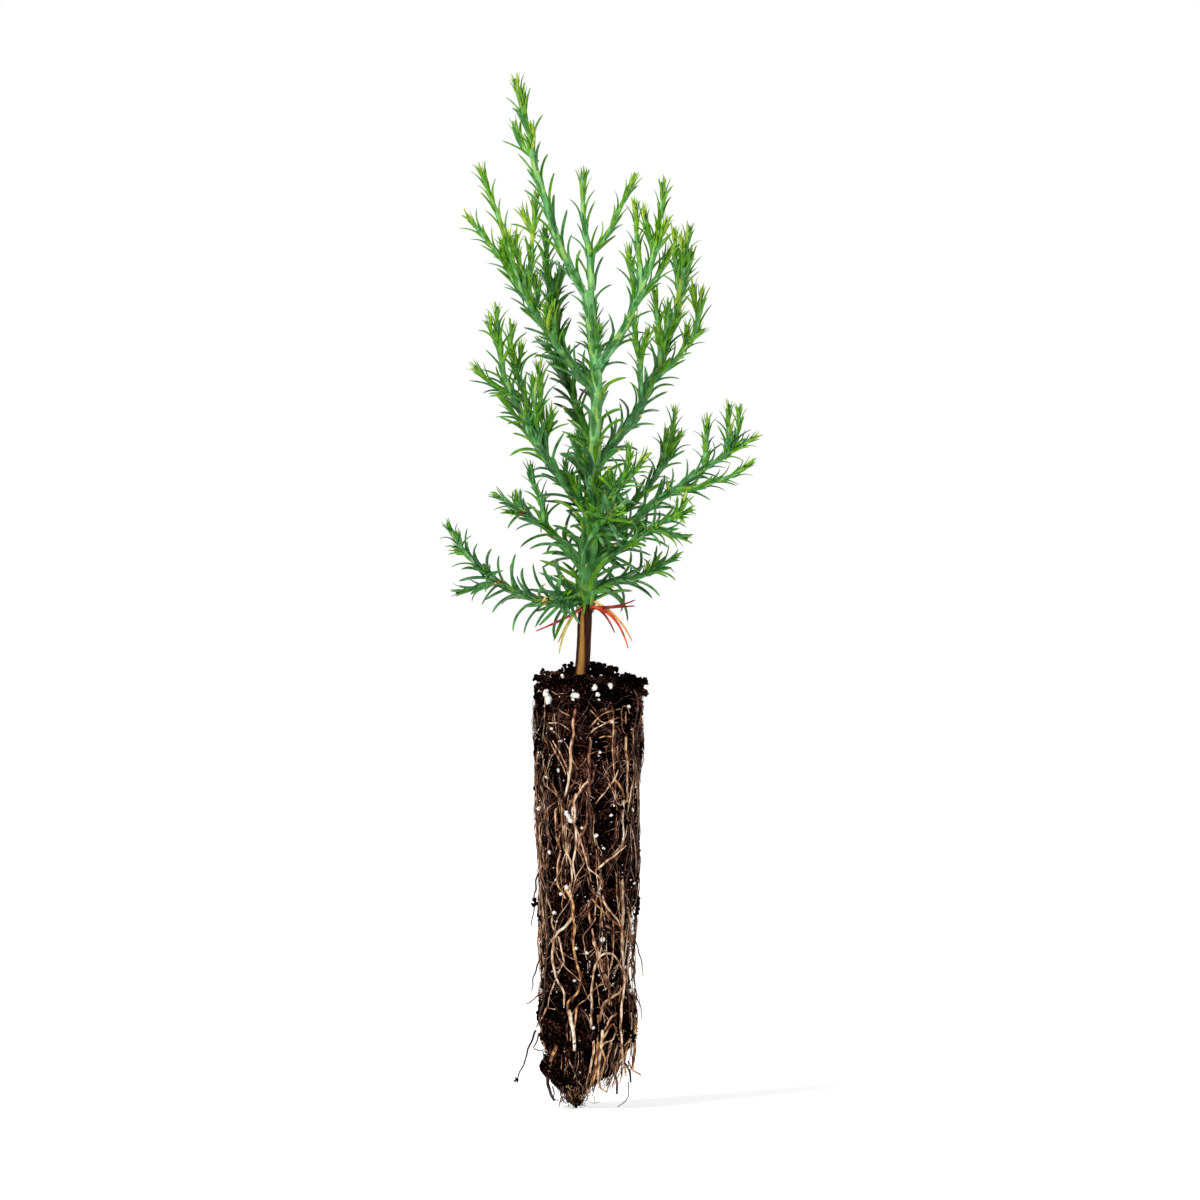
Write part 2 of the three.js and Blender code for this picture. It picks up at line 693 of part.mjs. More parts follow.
// A thick root that runs down the plug's side and wanders there, with both ends sunk in.
function rootOnPlug(root) {
  const wander = [0, 1, -0.6, 0];
  const points = wander.map((drift, i) => {
    const share = i / (wander.length - 1);
    const height = THREE.MathUtils.lerp(root.top, root.foot, share);
    const bearing = root.bearing + root.drift * drift;
    const sunk = drift === 0 ? root.radius * 2 : 0;
    return onPlug(bearing, height, -sunk);
  });
  return limb(new THREE.CatmullRomCurve3(points), () => root.radius, ROOT_SIDES, ROOT_RING_SPACING);
}

// A root that comes out of the plug's side and hangs beside its narrow foot.
function hangingRoot(root) {
  const start = onPlug(root.bearing, root.top, -1.5);
  const knee = onPlug(root.bearing, KNEE_HEIGHT, 0.5);
  const end = polar(root.reach, root.bearing + 6, root.foot);
  const curve = new THREE.QuadraticBezierCurve3(start, knee, end);
  return limb(curve, (share) => root.radius * (1 - TWIG_TAPER * share), ROOT_SIDES, ROOT_RING_SPACING);
}

function grain(place, size, random) {
  const geometry = new THREE.IcosahedronGeometry(size, 0);
  geometry.rotateX(random() * Math.PI);
  geometry.rotateZ(random() * Math.PI);
  geometry.scale(1, 1, GRAIN_FLATNESS);
  geometry.translate(place.x, place.y, place.z);
  return solidOf(geometry);
}

function plugNode() {
  const random = seeded(7);
  const pieces = [plugCore(), ...ROOTS.map(rootOnPlug), ...HANGING_ROOTS.map(hangingRoot)];
  PERLITE.forEach(({ bearing, height, size }) => {
    pieces.push(grain(onPlug(bearing, height, -size * 0.4), size, random));
  });
  for (let i = 0; i < CRUMB_COUNT; i += 1) {
    const size = THREE.MathUtils.lerp(...CRUMB_SIZES, random());
    const radius = THREE.MathUtils.lerp(...CRUMB_RING, random());
    pieces.push(grain(polar(radius, (360 * i) / CRUMB_COUNT, SOIL - GAP), size, random));
  }
  return nodeOf('root_plug', fuse(pieces), COLOURS.plug, 0.95);
}

// The whole plant

const plant = new THREE.Group();
const boughPlans = BOUGHS.map(boughPlan);
const topPlans = TOPS.map(topPlan);
const boughRoom = boughPlans.map((plan) => (
  limb(plan.lower, (share) => plan.lowerRadius(share) + ROOM, BOUGH_SIDES)
));

plant.add(plugNode(), trunkNode());
BOUGHS.forEach((bough, i) => plant.add(boughNode(bough, boughPlans[i])));
SHEATHS.forEach((sheath, i) => plant.add(sheathNode(sheath, 200 + i, boughRoom)));
[...topPlans, ...boughPlans].forEach((plan, i) => plant.add(massNode(plan, 100 + i)));

export default plant;
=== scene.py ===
"""Looks of a young giant sequoia that stands on its root plug.

Sizes are in millimetres until a mesh is made. +X is the plant's right, -Y its front, and
heights on the trunk are above the soil. The limbs and shoots follow the solids' own rule.
"""
import math

import bmesh
import bpy
import numpy as np
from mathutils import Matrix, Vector


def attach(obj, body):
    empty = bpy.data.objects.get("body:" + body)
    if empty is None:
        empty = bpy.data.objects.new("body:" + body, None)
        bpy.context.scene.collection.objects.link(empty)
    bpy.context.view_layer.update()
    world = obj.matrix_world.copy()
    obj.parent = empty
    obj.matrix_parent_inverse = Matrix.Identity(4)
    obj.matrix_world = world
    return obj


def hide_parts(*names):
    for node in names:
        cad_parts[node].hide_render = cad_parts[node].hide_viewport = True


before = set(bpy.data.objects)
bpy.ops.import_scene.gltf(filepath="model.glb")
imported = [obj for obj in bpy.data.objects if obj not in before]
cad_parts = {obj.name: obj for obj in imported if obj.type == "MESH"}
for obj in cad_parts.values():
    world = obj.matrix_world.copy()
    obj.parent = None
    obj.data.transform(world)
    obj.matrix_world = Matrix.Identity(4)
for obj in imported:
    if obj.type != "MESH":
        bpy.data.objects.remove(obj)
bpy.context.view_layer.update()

MM = 0.001
BODY = "root"
UP = np.array([0.0, 0.0, 1.0])

# Driving dimensions, as in the solids

SOIL = 129.6
FORK = 115.8
TRUNK_BOW = [(0, -1.8), (23, -0.6), (59, 1.8), (88, 2.7), (105, 1.2), (FORK, -0.3)]
TRUNK_RADII = [(0, 2.5), (3, 2.15), (21, 2.1), (26, 1.75), (60, 1.3), (80, 1.0), (FORK, 0.8)]
SHEATH_RADII = [(21, 2.0), (25, 2.9), (48, 2.6), (66, 1.95), (90, 1.7), (109, 1.65), (FORK, 2.2)]
PLUG_RADII = [
    (0, 1), (4.5, 2.4), (6.5, 4.4), (8.7, 7.4), (11, 9.4), (13, 10.2), (15.6, 11), (18, 12.2), (21, 14.2),
    (27, 15), (38, 13.8), (70, 15), (100, 15.7), (122, 16.6), (127.6, 15.4),
]
PLUG_SHIFT = [
    (0, -3.6), (4.5, -4), (6.5, -4.8), (8.7, -4), (11, -3.6), (13, -2.8), (15.6, -1.6), (18, -0.6), (21, 0),
]
PLUG_WAVES = [(3, 0.11, 0.4), (5, -0.185, 2.1), (8, 0.265, 4.4), (13, 0.07, 1.2)]
PLUG_ROUGHNESS = 0.22
PLUG_FOOT_BLEND = 12
# The hollow in the plug's right side
HOLLOW_BEARING = 0
HOLLOW_SPREAD = 28
HOLLOW_HEIGHT = 47
HOLLOW_TALL = 13
HOLLOW_DEPTH = 2.3
RIM = PLUG_RADII[-1][0]
TWIG_RADIUS = 0.8
# Shares of their radius that limbs lose to their tips
TWIG_TAPER = 0.45
BOUGH_TAPER = 0.6
TOP_TAPER = 0.5
STEM_PULL = 0.35  # reach of a stem's bends, of its length
STEM_DIP = 18  # degrees by which it leaves more level than it goes on
STEM_LIFT = 8  # and by which it arrives steeper
TIP_LEAVES = 2.0  # length of the leaves beyond its end
SHOOT_LEAF_AGE = 0.6
LEAF_TURN = math.radians(137.5)


def shoots(rows):
    """Shoots from rows: how far up its stem each one leaves, its tip's x, y and z from there, and, where they
    are given, its slopes at foot and tip in degrees and its own shoots."""
    found = []
    for at, x, y, z, *rest in rows:
        own = rest.pop() if rest and isinstance(rest[-1], list) else []
        rise, end = rest or (None, None)
        found.append({"at": at, "tip": (x, y, z), "rise": rise, "end": end, "shoots": shoots(own)})
    return found


def bough(name, height, tip, rise, end, bare, foot, leaf, gap, tone, rows, side=None):
    """leaf holds lengths and tone the green's brightness, both at foot and tip. gap is the space between
    leaves up the bough, and side is where a top's stem stands on the fork."""
    return {
        "name": name, "height": height, "tip": tip, "rise": rise, "end": end, "bare": bare, "foot": foot,
        "leaf": leaf, "gap": gap, "tone": tone, "shoots": shoots(rows), "side": side,
    }


BOUGHS = [
    bough("right_upper", 92, (20.7, -15, 57), 46, 90, 0.3, 1.5, (7.8, 5.2), 2.1, (0.42, 0.78), [
        (0.4, -2.4, 5, 18), (0.45, -1.8, -5, 28.5, 96, 90), (0.4, 11.7, 4, 18, 44, 64), (0.66, 4.5, -4, 11),
        (0.62, -3, -3, 17, 116, 94),
    ]),
    bough("right_middle", 63.6, (29.3, 19, 74), 38, 84, 0.28, 1.6, (8.2, 4.9), 1.7, (0.36, 0.72), [
        (0.3, -2.1, -6, 28.5, 90, 94, [(0.55, 3.8, -4, 8.7)]),
        (0.4, 16.2, -6, 16.8, 40, 46, [(0.76, 3.9, -3, 17.5, [(0.5, -1.8, 3, 12)]), (0.66, 0.9, 4, 8.7)]),
        (0.46, -1.8, 6, 25.5, 104, 88), (0.49, 1.8, -6, 19, 86, 90), (0.72, 4.8, 4, 17),
        (0.76, -1.8, 5, 20), (0.82, -0.8, -3, 13), (0.52, -1.5, -5, 8), (0.62, 3.2, -3, 7),
    ]),
    bough("right_long", 37.8, (52.4, 12, 35.6), 33, 29, 0.3, 1.5, (8.8, 3.9), 1.2, (0.38, 0.62), [
        (0.48, -0.3, -6, 4), (0.51, 25, -8, 8.7, 2, 38), (0.69, 1.2, 5, 17.1), (0.82, 0.8, -4, 17),
        (0.84, 3.4, 4, 15.5),
    ]),
    bough("right_back", 44, (26.4, 24, 38.4), 14, 92, 0.4, 1.35, (8.4, 4.6), 1.35, (0.28, 0.68), [
        (0.66, 7, 5, 11), (0.68, 1.8, -4, 11.4), (0.78, 1.5, 4, 6),
    ]),
    bough("right_front", 47.5, (11.8, -19, 23), 30, 98, 0.35, 1.25, (9, 5), 1.15, (0.48, 0.66), [
        (0.5, -3, -6, 7), (0.6, 9.6, -4, 10), (0.3, 3, -6, 2),
    ]),
    bough("right_low", 33, (32.4, -14, 17.7), 22, 20, 0.38, 1.35, (10.6, 4.5), 1.3, (0.38, 0.6), [
        (0.56, 5, -9, 3), (0.6, 13.5, 5, -3, -2, -10), (0.88, 2.4, -3, -1.8), (0.86, 3.5, 4, 7.5),
        (0.45, 3, 6, 7),
    ]),
    bough("right_lowest", 27.3, (29.4, 17, 10), 0, 34, 0.4, 1.25, (12, 5), 1.3, (0.36, 0.56), [
        (0.55, 3, -3, 4.8), (0.65, 3, 9, 5),
    ]),
    bough("left_upper", 84.6, (-39.6, -17, 54), 43, 46, 0.25, 1.5, (8.2, 5.1), 1.85, (0.38, 0.76), [
        (0.28, -2.4, -6, 13.5), (0.42, -1.8, 5, 16), (0.52, 2.2, 13, 34.6, 88, 78, [(0.66, -4, 2, 8)]),
        (0.56, -5.4, -7, 20), (0.6, -12.3, 2, 37.5, 72, 66), (0.54, -3, -3, 21, 86, 116),
        (0.25, -5.4, 6, 6.6), (0.72, -1.6, -3, 8), (0.35, -1.2, -6, 9),
    ]),
    # left_back stands at the back, and its low tones paint its shade: its leaves and stems take the shade and
    # dark greens.
    bough("left_back", 67.8, (-15.6, 25, 69.5), 48, 86, 0.3, 1.3, (8, 6), 1.15, (0.04, 0.27), [
        (0.32, -6.3, -3, 9.6), (0.44, -8.4, 3, 7), (0.52, -2, 9, 15), (0.66, 3, 6, 15), (0.58, -3, -6, 12),
        (0.76, -2, 4, 8),
    ]),
    bough("left_middle", 48.3, (-29.1, -16, 63.6), 43, 92, 0.3, 1.5, (9.4, 5.4), 1.35, (0.33, 0.66), [
        (0.31, -2.4, 4, 31.5, 86, 94, [(0.22, 2.7, -4, 10)]), (0.38, -1.5, -6, 22.5, 92, 92),
        (0.45, -5.7, 6, 34.5, 90, 102, [(0.55, 1.6, 2, 11), (0.6, -1.6, -3, 6.5)]),
        (0.5, -8.6, -4, 9, 24, 56), (0.63, -12.6, 1, 9.5, 20, 46), (0.06, -3.2, -5, 8.4),
        (0.13, -2.2, 3, 12), (0.84, -3.6, -3, 10),
    ]),
    bough("left_low", 33, (-30, 18, 23), 38, 24, 0.38, 1.35, (11, 4.3), 1.3, (0.32, 0.5), [
        (0.5, -4.2, 6, 20.5, 108, 86), (0.72, -6, -5, 0), (0.7, -3, 7, 7),
    ]),
    bough("left_lowest", 22.8, (-43, -15, 23.7), -11, 66, 0.4, 1.4, (12.6, 4), 1.2, (0.32, 0.48), [
        (0.54, -15, 4, -3.2, -4, -4), (0.62, -1, -9, 1.5), (0.8, -4.8, 4, 1.2), (0.85, -0.9, -4, 5),
    ]),
    bough("front", 40.5, (7.8, -29, 9), 22, 2, 0.4, 1.25, (11.4, 7.4), 1.25, (0.42, 0.55), [
        (0.6, 6, -7, 3), (0.68, -5, -7, 2),
    ]),
    bough("front_lowest", 24.4, (-14, -22, -2.4), 6, -14, 0.4, 1.25, (14, 11), 1.0, (0.4, 0.46), [
        (0.62, 3, -8, 1),
    ]),
    bough("back_upper", 80, (-1.5, 24, 36), 45, 82, 0.32, 1.2, (8, 5), 1.4, (0.2, 0.6), [
        (0.42, 2, 9, 9), (0.55, -2, 8, 14), (0.7, 0.5, 7, 10),
    ]),
    bough("back_middle", 52, (-4, 34, 27), 25, 62, 0.35, 1.3, (9, 6), 1.3, (0.15, 0.5), [
        (0.45, -5, 8, 12), (0.55, 4, 10, 10), (0.72, -2, 8, 7),
    ]),
    bough("back_low", 36, (7, 35, 17), 12, 48, 0.38, 1.3, (11, 6), 1.2, (0.15, 0.5), [
        (0.5, 7, 8, 6), (0.58, -7, 9, 9), (0.75, 3, 7, 8),
    ]),
]

TOPS = [
    bough("leader", FORK, (-20.4, -3, 64.6), 59, 76, 0, 1.45, (8, 6), 2.4, (0.5, 0.7), [
        (0.64, -6.5, 2, 11.5), (0.68, 0.2, -5, 8), (0.82, -0.6, -3, 9),
    ], side=-1),
    bough("second_top", FORK, (-2.7, 3, 37.2), 86, 96, 0, 1.3, (7, 5), 2.2, (0.5, 0.72), [
        (0.28, 14.4, -3, 25, 44, 62),
    ], side=1),
]

# Small shoots straight from the trunk: height, tip and tone
TRUNK_SHOOTS = [(97, (2.2, -4, 9), 0.35), (56, (5.5, -5, 4.5), 0.45), (60, (-4, -5, 6), 0.3)]

SHEATHS = ("sheath_low", "sheath_middle", "sheath_upper")
FOLIAGE = [top["name"] for top in TOPS] + [f"{row['name']}_foliage" for row in BOUGHS]
LIMBS = [f"{row['name']}_bough" for row in BOUGHS]


# Small helpers


def on_stations(stations, place):
    places, values = zip(*stations)
    return np.interp(place, places, values)


def mix(ends, share):
    """The value at a share of the way from a pair's first to its second."""
    return ends[0] + (ends[1] - ends[0]) * share


def unit(vectors):
    return vectors / np.maximum(np.linalg.norm(vectors, axis=-1, keepdims=True), 1e-9)


def between(angle, first, second):
    """The direction at an angle from the first one towards the second."""
    return np.cos(angle)[..., None] * first + np.sin(angle)[..., None] * second


def polar(radius, degrees, height):
    angle = np.radians(degrees)
    return np.stack([radius * np.cos(angle), radius * np.sin(angle), height + 0 * angle], axis=-1)


WAVE_SPREAD = (0.7, 1.5)  # how much shorter and longer waves are than their scale


def waviness(points, scale, seed, waves=14):
    """Smooth noise of about -1 to 1 at points: sine waves in seeded directions."""
    rng = np.random.default_rng(seed)
    directions = unit(rng.normal(size=(waves, 3)))
    directions = directions * rng.uniform(*WAVE_SPREAD, (waves, 1)) * 2 * math.pi / scale
    shifts = rng.uniform(0, 2 * math.pi, waves)
    return np.sin(points @ directions.T + shifts).sum(axis=-1) / math.sqrt(waves)


def shaken(points, size, scale, seed, waves):
    """Points moved along all three axes by smooth noise."""
    return points + size * np.stack([waviness(points, scale, seed + k, waves) for k in range(3)], axis=-1)


ASKEW = (0.31, 0.95, 0.05)  # a direction that no limb starts in


class Path:
    """A line through points, read by its share of the length, with frames that don't twist."""

    def __init__(self, points):
        points = np.asarray(points, float)
        steps = np.linalg.norm(np.diff(points, axis=0), axis=1)
        self.length = steps.sum()
        self.shares = np.concatenate([[0], np.cumsum(steps)]) / self.length
        self.points = points
        self.tangents = unit(np.gradient(points, axis=0))
        self.normals = np.empty_like(points)
        normal = np.cross(self.tangents[0], ASKEW)
        for i, tangent in enumerate(self.tangents):
            normal = normal - tangent * np.dot(normal, tangent)
            normal = normal / np.linalg.norm(normal)
            self.normals[i] = normal

    def read(self, values, share):
        return np.stack([np.interp(share, self.shares, values[:, k]) for k in range(3)], axis=-1)

    def at(self, share):
        return self.read(self.points, share)

    def frames(self, share):
        tangent = unit(self.read(self.tangents, share))
        normal = self.read(self.normals, share)
        normal = unit(normal - tangent * (normal * tangent).sum(axis=-1, keepdims=True))
        return tangent, normal, np.cross(tangent, normal)

    def part(self, start, end):
        inside = (self.shares > start) & (self.shares < end)
        shares = np.concatenate([[start], self.shares[inside], [end]])
        return Path(self.at(shares))


def bezier(points, count=60):
    """A cubic Bezier curve's points."""
    t = np.linspace(0, 1, count)[:, None]
    a, b, c, d = (np.asarray(p, float) for p in points)
    return (1 - t) ** 3 * a + 3 * (1 - t) ** 2 * t * b + 3 * (1 - t) * t * t * c + t ** 3 * d


def stem_path(start, offset, rise=None, end=None):
    """A stem from a place to its tip, which leaves and arrives at the slopes given in degrees."""
    chord = np.array(offset, float)
    chord *= 1 - TIP_LEAVES / np.linalg.norm(chord)
    level = np.hypot(chord[0], chord[1])
    outward = np.array([chord[0], chord[1], 0]) / level
    slope = math.degrees(math.atan2(chord[2], level))
    reach = np.linalg.norm(chord) * STEM_PULL

    def heading(degrees):
        angle = math.radians(degrees)
        return (outward * math.cos(angle) + UP * math.sin(angle)) * reach

    leaving = start + heading(slope - STEM_DIP if rise is None else rise)
    arriving = start + chord - heading(slope + STEM_LIFT if end is None else end)
    return Path(bezier([start, leaving, arriving, start + chord]))


# Mesh making

looks = {}  # the materials made below, by name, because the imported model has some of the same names


def add_object(name, data):
    """An object in the scene."""
    placed = bpy.data.objects.new(name, data)
    bpy.context.scene.collection.objects.link(placed)
    return placed


class Pile:
    """Many small closed shapes, which become one mesh."""

    def __init__(self):
        self.verts = []
        self.quads = []
        self.tris = []
        self.count = 0

    def add(self, verts, quads, tris):
        self.quads.append(np.reshape(quads, (-1, 4)).astype(int) + self.count)
        self.tris.append(np.reshape(tris, (-1, 3)) + self.count)
        self.verts.append(np.reshape(verts, (-1, 3)))
        self.count += len(self.verts[-1])

    def mesh(self, name, look, slot, replaced, sharp=None):
        """A piece in the material that look names. Edges above the sharp angle, in degrees, stay hard."""
        data = bpy.data.meshes.new(name)
        verts = np.concatenate(self.verts) * MM
        faces = [*np.concatenate(self.quads).tolist(), *np.concatenate(self.tris).tolist()]
        data.from_pydata(verts.tolist(), [], faces)
        data.validate()
        data.shade_smooth()
        if sharp is not None:
            data.set_sharp_from_angle(angle=math.radians(sharp))
        data.materials.append(looks[look])
        piece = add_object(name, data)
        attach(piece, BODY)
        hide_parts(*replaced)


def new_piles(names):
    return {name: Pile() for name in names}


def ring_faces(rings, sides):
    """Quads that join rings of vertices into a tube."""
    ring = np.arange(rings - 1)[:, None] * sides
    side = np.arange(sides)[None, :]
    following = (side + 1) % sides
    corners = [ring + side, ring + following, ring + sides + following, ring + sides + side]
    return np.stack(corners, axis=-1).reshape(-1, 4)


def end_faces(rings, sides):
    """Triangles that close such a tube with two vertices, which come after those of its rings."""
    side = np.arange(sides)
    following = (side + 1) % sides
    last = (rings - 1) * sides
    foot = np.stack([following, side, np.full(sides, rings * sides)], axis=-1)
    head = np.stack([last + side, last + following, np.full(sides, rings * sides + 1)], axis=-1)
    return np.concatenate([foot, head])


TUBE_FOOT = 0.05  # length of a tube's point at its foot
TUBE_HEAD = 0.6  # and at its head, where it goes by the radius


def add_tube(pile, path, radii, sides, spacing, relief=None):
    """A round limb along a path with pointed ends. radii is a function of the share."""
    rings = max(2, int(round(path.length / spacing)) + 1)
    shares = np.linspace(0, 1, rings)
    tangent, normal, side = path.frames(shares)
    turns = np.arange(sides) * 2 * math.pi / sides
    radius = np.broadcast_to(radii(shares), (rings,))[:, None]
    if relief is not None:
        radius = radius + relief(shares[:, None], turns[None, :])
    radius = np.broadcast_to(radius, (rings, sides))
    around = between(turns[None, :], normal[:, None], side[:, None])
    verts = (path.at(shares)[:, None] + around * radius[..., None]).reshape(-1, 3)
    foot = path.at(0) - tangent[0] * TUBE_FOOT
    head = path.at(1) + tangent[-1] * radius[-1, 0] * TUBE_HEAD
    pile.add(np.concatenate([verts, [foot, head]]), ring_faces(rings, sides), end_faces(rings, sides))


def icosphere(subdivisions):
    """Vertices and triangles of a ball."""
    data = bpy.data.meshes.new("ball")
    ball = bmesh.new()
    bmesh.ops.create_icosphere(ball, subdivisions=subdivisions, radius=1)
    ball.to_mesh(data)
    ball.free()
    verts = np.array([v.co for v in data.vertices])
    tris = np.array([list(p.vertices) for p in data.polygons])
    bpy.data.meshes.remove(data)
    return verts, tris


SMALL_GRAIN = 0.45  # below this a grain is a ball of 20 faces, and above it one of 80
COARSE_BALL = icosphere(1)
FINE_BALL = icosphere(2)
WIDEST = 1.15  # a grain's stretch along one of its axes
COARSE_LUMPS = (1.7, 5)  # span in radii of the ball, and seed
FINE_LUMPS = (0.8, 6)


def add_grains(pile, centres, sizes, rng, flat=0.75, rough=0.28):
    """Lumpy grains, each a ball pushed out of round and turned at random."""
    small = sizes < SMALL_GRAIN
    for chosen, (ball, tris) in ((small, COARSE_BALL), (~small, FINE_BALL)):
        count = int(chosen.sum())
        if not count:
            continue
        axes = np.linalg.qr(rng.normal(size=(count, 3, 3)))[0]
        axes[np.linalg.det(axes) < 0] *= -1
        stretch = rng.uniform(flat, WIDEST, (count, 1, 3))
        place = ball + rng.uniform(-50, 50, (count, 1, 3))
        bumps = 1 + rough * waviness(place, *COARSE_LUMPS) + 0.5 * rough * waviness(place, *FINE_LUMPS)
        verts = np.einsum("nij,nvj->nvi", axes, ball * bumps[..., None] * stretch)
        verts = verts * sizes[chosen][:, None, None] + centres[chosen][:, None]
        pile.add(verts, [], tris + (np.arange(count) * len(ball))[:, None, None])


def dealt(rng, count, shares):
    """Sizes for grains, each dealt as often as its share says."""
    return rng.choice(list(shares), count, p=list(shares.values()))


# Leaves

BASE_BACK = np.array([3.2, 1.6, 0.0])  # rings of the leaf's base, which runs down its stem
BASE_LIFT = np.array([-0.15, 0.06, 0.2])  # above the stem's skin
BASE_LENGTH = 6  # of a leaf whose base is as given here
FREE_RINGS = np.array([0.1, 0.22, 0.36, 0.5, 0.64, 0.78, 0.9])
LEAF_BEND = 1.2  # above 1, a leaf turns more towards its tip
LANCE = np.array([0.45, 1.1, 1.5, 1.36, 1.16, 1.0, 0.88, 0.74, 0.56, 0.3])
NEEDLE = np.array([0.45, 1.0, 1.4, 1.38, 1.36, 1.36, 1.36, 1.3, 1.14, 0.78])
LEAF_THICKNESS = (0.46, 0.66)  # of its width, on a short leaf and on a long one
KEEL_SHARE = 0.62
TIP_RING = len(LANCE) - 1  # where a discoloured tip starts
# Greens of leaves and stems, each up to the tone beside it. The lowest, shade and dark, are painted shade for
# leaves and stems that stand in shade inside and behind the plant.
LEAF_TONES = [
    ("shade", 0.12), ("dark", 0.27), ("old", 0.42), ("mid", 0.57), ("young", 0.72), ("bright", 0.87),
    ("lime", math.inf),
]
STEM_TONES = [("dark", 0.26), ("old", 0.44), ("mid", 0.62), ("bright", math.inf)]
TIP_DRAWS = [("yellow", 0.11), ("brown", 0.14), ("dusky", 0.26)]  # a worn tip's, as it is drawn below them
WORN_LENGTH = 4.2  # leaves below it have green tips
BROAD_LENGTH = 5  # up to it leaves are broad as lances, and SLENDER_SPAN above it slender as needles
SLENDER_SPAN = 3.5
FULL_LENGTH = 5.5  # from it on a leaf has its full width
LEAF_WIDTH = 0.9
leaf_piles = new_piles(dict(LEAF_TONES))
tip_piles = new_piles(dict(TIP_DRAWS))
stem_piles = new_piles(dict(STEM_TONES))
limb_piles = new_piles(dict(STEM_TONES))
sheath_piles = new_piles(dict(STEM_TONES))


def leaf_rings(root, tangent, out, radius, length, width, slender, opening, closing, curl):
    """Rings and tips of leaves: opening and closing are their angles from the stem, at foot and tip."""
    across = np.cross(tangent, out)
    scale = np.clip(length / BASE_LENGTH, 0.35, 1.3)[:, None]
    shares = np.concatenate([[0], FREE_RINGS, [1]])
    middles = (shares[1:] + shares[:-1]) / 2
    angles = (opening[:, None], closing[:, None])
    run = between(mix(angles, middles ** LEAF_BEND), tangent[:, None], out[:, None])
    run = unit(run + across[:, None] * (curl[:, None] * middles)[..., None])
    skin = root + out * (radius + BASE_LIFT[-1])[:, None]
    free = skin[:, None] + np.cumsum(run * (length[:, None] * np.diff(shares))[..., None], axis=1)
    base = root[:, None] - tangent[:, None] * (BASE_BACK * scale)[..., None]
    base = base + out[:, None] * (radius[:, None] + BASE_LIFT)[..., None]
    centres = np.concatenate([base, free[:, :-1]], axis=1)
    ring_angles = mix(angles, FREE_RINGS ** LEAF_BEND)
    ring_angles = np.concatenate([0 * ring_angles[:, :2], angles[0] * 0.5, ring_angles], axis=1)
    outer = between(ring_angles, out[:, None], -tangent[:, None])
    widths = width[:, None] * mix((LANCE, NEEDLE), slender[:, None])
    thick = (widths * np.interp(slender, (0, 1), LEAF_THICKNESS)[:, None])[..., None]
    side = np.broadcast_to(across[:, None], centres.shape) * (widths / 2)[..., None]
    rings = np.stack([
        centres + outer * thick * KEEL_SHARE,
        centres + side,
        centres - outer * thick * (1 - KEEL_SHARE),
        centres - side,
    ], axis=2)
    return rings, free[:, -1]


def add_pointed(pile, rings, tips):
    """Leaves from rings of four vertices and a tip, closed at the foot."""
    leaves, count = rings.shape[:2]
    if not leaves:
        return
    verts = np.concatenate([rings.reshape(leaves, -1, 3), tips[:, None]], axis=1)
    last = (count - 1) * 4
    quads = np.concatenate([ring_faces(count, 4), [[3, 2, 1, 0]]])
    tris = np.array([[last + i, last + (i + 1) % 4, count * 4] for i in range(4)])
    step = (np.arange(leaves) * verts.shape[1])[:, None, None]
    pile.add(verts, quads + step, tris + step)


def kind_of(tones, tone):
    return next(name for name, limit in tones if tone < limit)


def add_leaves(path, shares, radius, length, tone, opening, closing, rng, worn=1.0, broad=1.0):
    """Leaves in a spiral up a path, with one value a leaf and angles in degrees. worn is how many tips are,
    and broad how wide the leaves are for their length."""
    count = len(shares)
    turn = np.arange(count) * LEAF_TURN + rng.uniform(0, 6) + rng.normal(0, 0.2, count)
    tangent, normal, side = path.frames(shares)
    out = between(turn, normal, side)
    length = length * rng.uniform(0.86, 1.14, count)
    slender = np.clip((length - BROAD_LENGTH) / SLENDER_SPAN, 0, 1)
    width = broad * (LEAF_WIDTH + 0.08 * slender) * np.clip(length / FULL_LENGTH, 0.62, 1)
    width = width * rng.uniform(0.88, 1.12, count)
    opening = np.radians(opening * rng.uniform(0.75, 1.25, count))
    closing = np.radians(closing * rng.uniform(0.6, 1.25, count))
    curl = rng.normal(0, 0.22, count)
    place = path.at(shares)
    rings, tips = leaf_rings(place, tangent, out, radius, length, width, slender, opening, closing, curl)
    names = np.array([kind_of(LEAF_TONES, value) for value in tone + rng.normal(0, 0.1, count)])
    draw = rng.uniform(0, 1, count) / worn
    tip_names = np.select([draw < limit for _, limit in TIP_DRAWS], list(tip_piles), "")
    tip_names = np.where(length < WORN_LENGTH, "", tip_names)
    for name, pile in leaf_piles.items():
        whole = (names == name) & (tip_names == "")
        add_pointed(pile, rings[whole], tips[whole])
        cut = (names == name) & (tip_names != "")
        ends = rings[cut][:, TIP_RING].mean(axis=1) * 0.65 + tips[cut] * 0.35
        add_pointed(pile, rings[cut][:, :TIP_RING + 1], ends)
    for name, pile in tip_piles.items():
        chosen = tip_names == name
        ends = rings[chosen][:, TIP_RING:]
        middle = ends.mean(axis=2, keepdims=True)
        add_pointed(pile, middle + (ends - middle) * 1.1, tips[chosen])


# Stems

TUFTS = (3.0, 1.8)  # length of a tip's crowded end on the highest and the lowest boughs
TUFT_PAINTED_SHADE = 0.4  # painted shade: how much darker the stem is in its tuft, between the crowded leaves
OPENING = (8, 46)  # of a leaf from its stem in degrees: at a tuft, and on the lowest boughs' old parts
CLOSING = (26, 112)
FIRST_LEAF = 0.1  # from the stem's tip
CROWDED_GAPS = (0.36, 0.75)  # at the tip and at the tuft's foot
SPREADS = [(22, 1.0), (42, 0.85), (60, 0.55), (80, 0.32), (FORK, 0.18)]  # of a bough's leaves, by its height


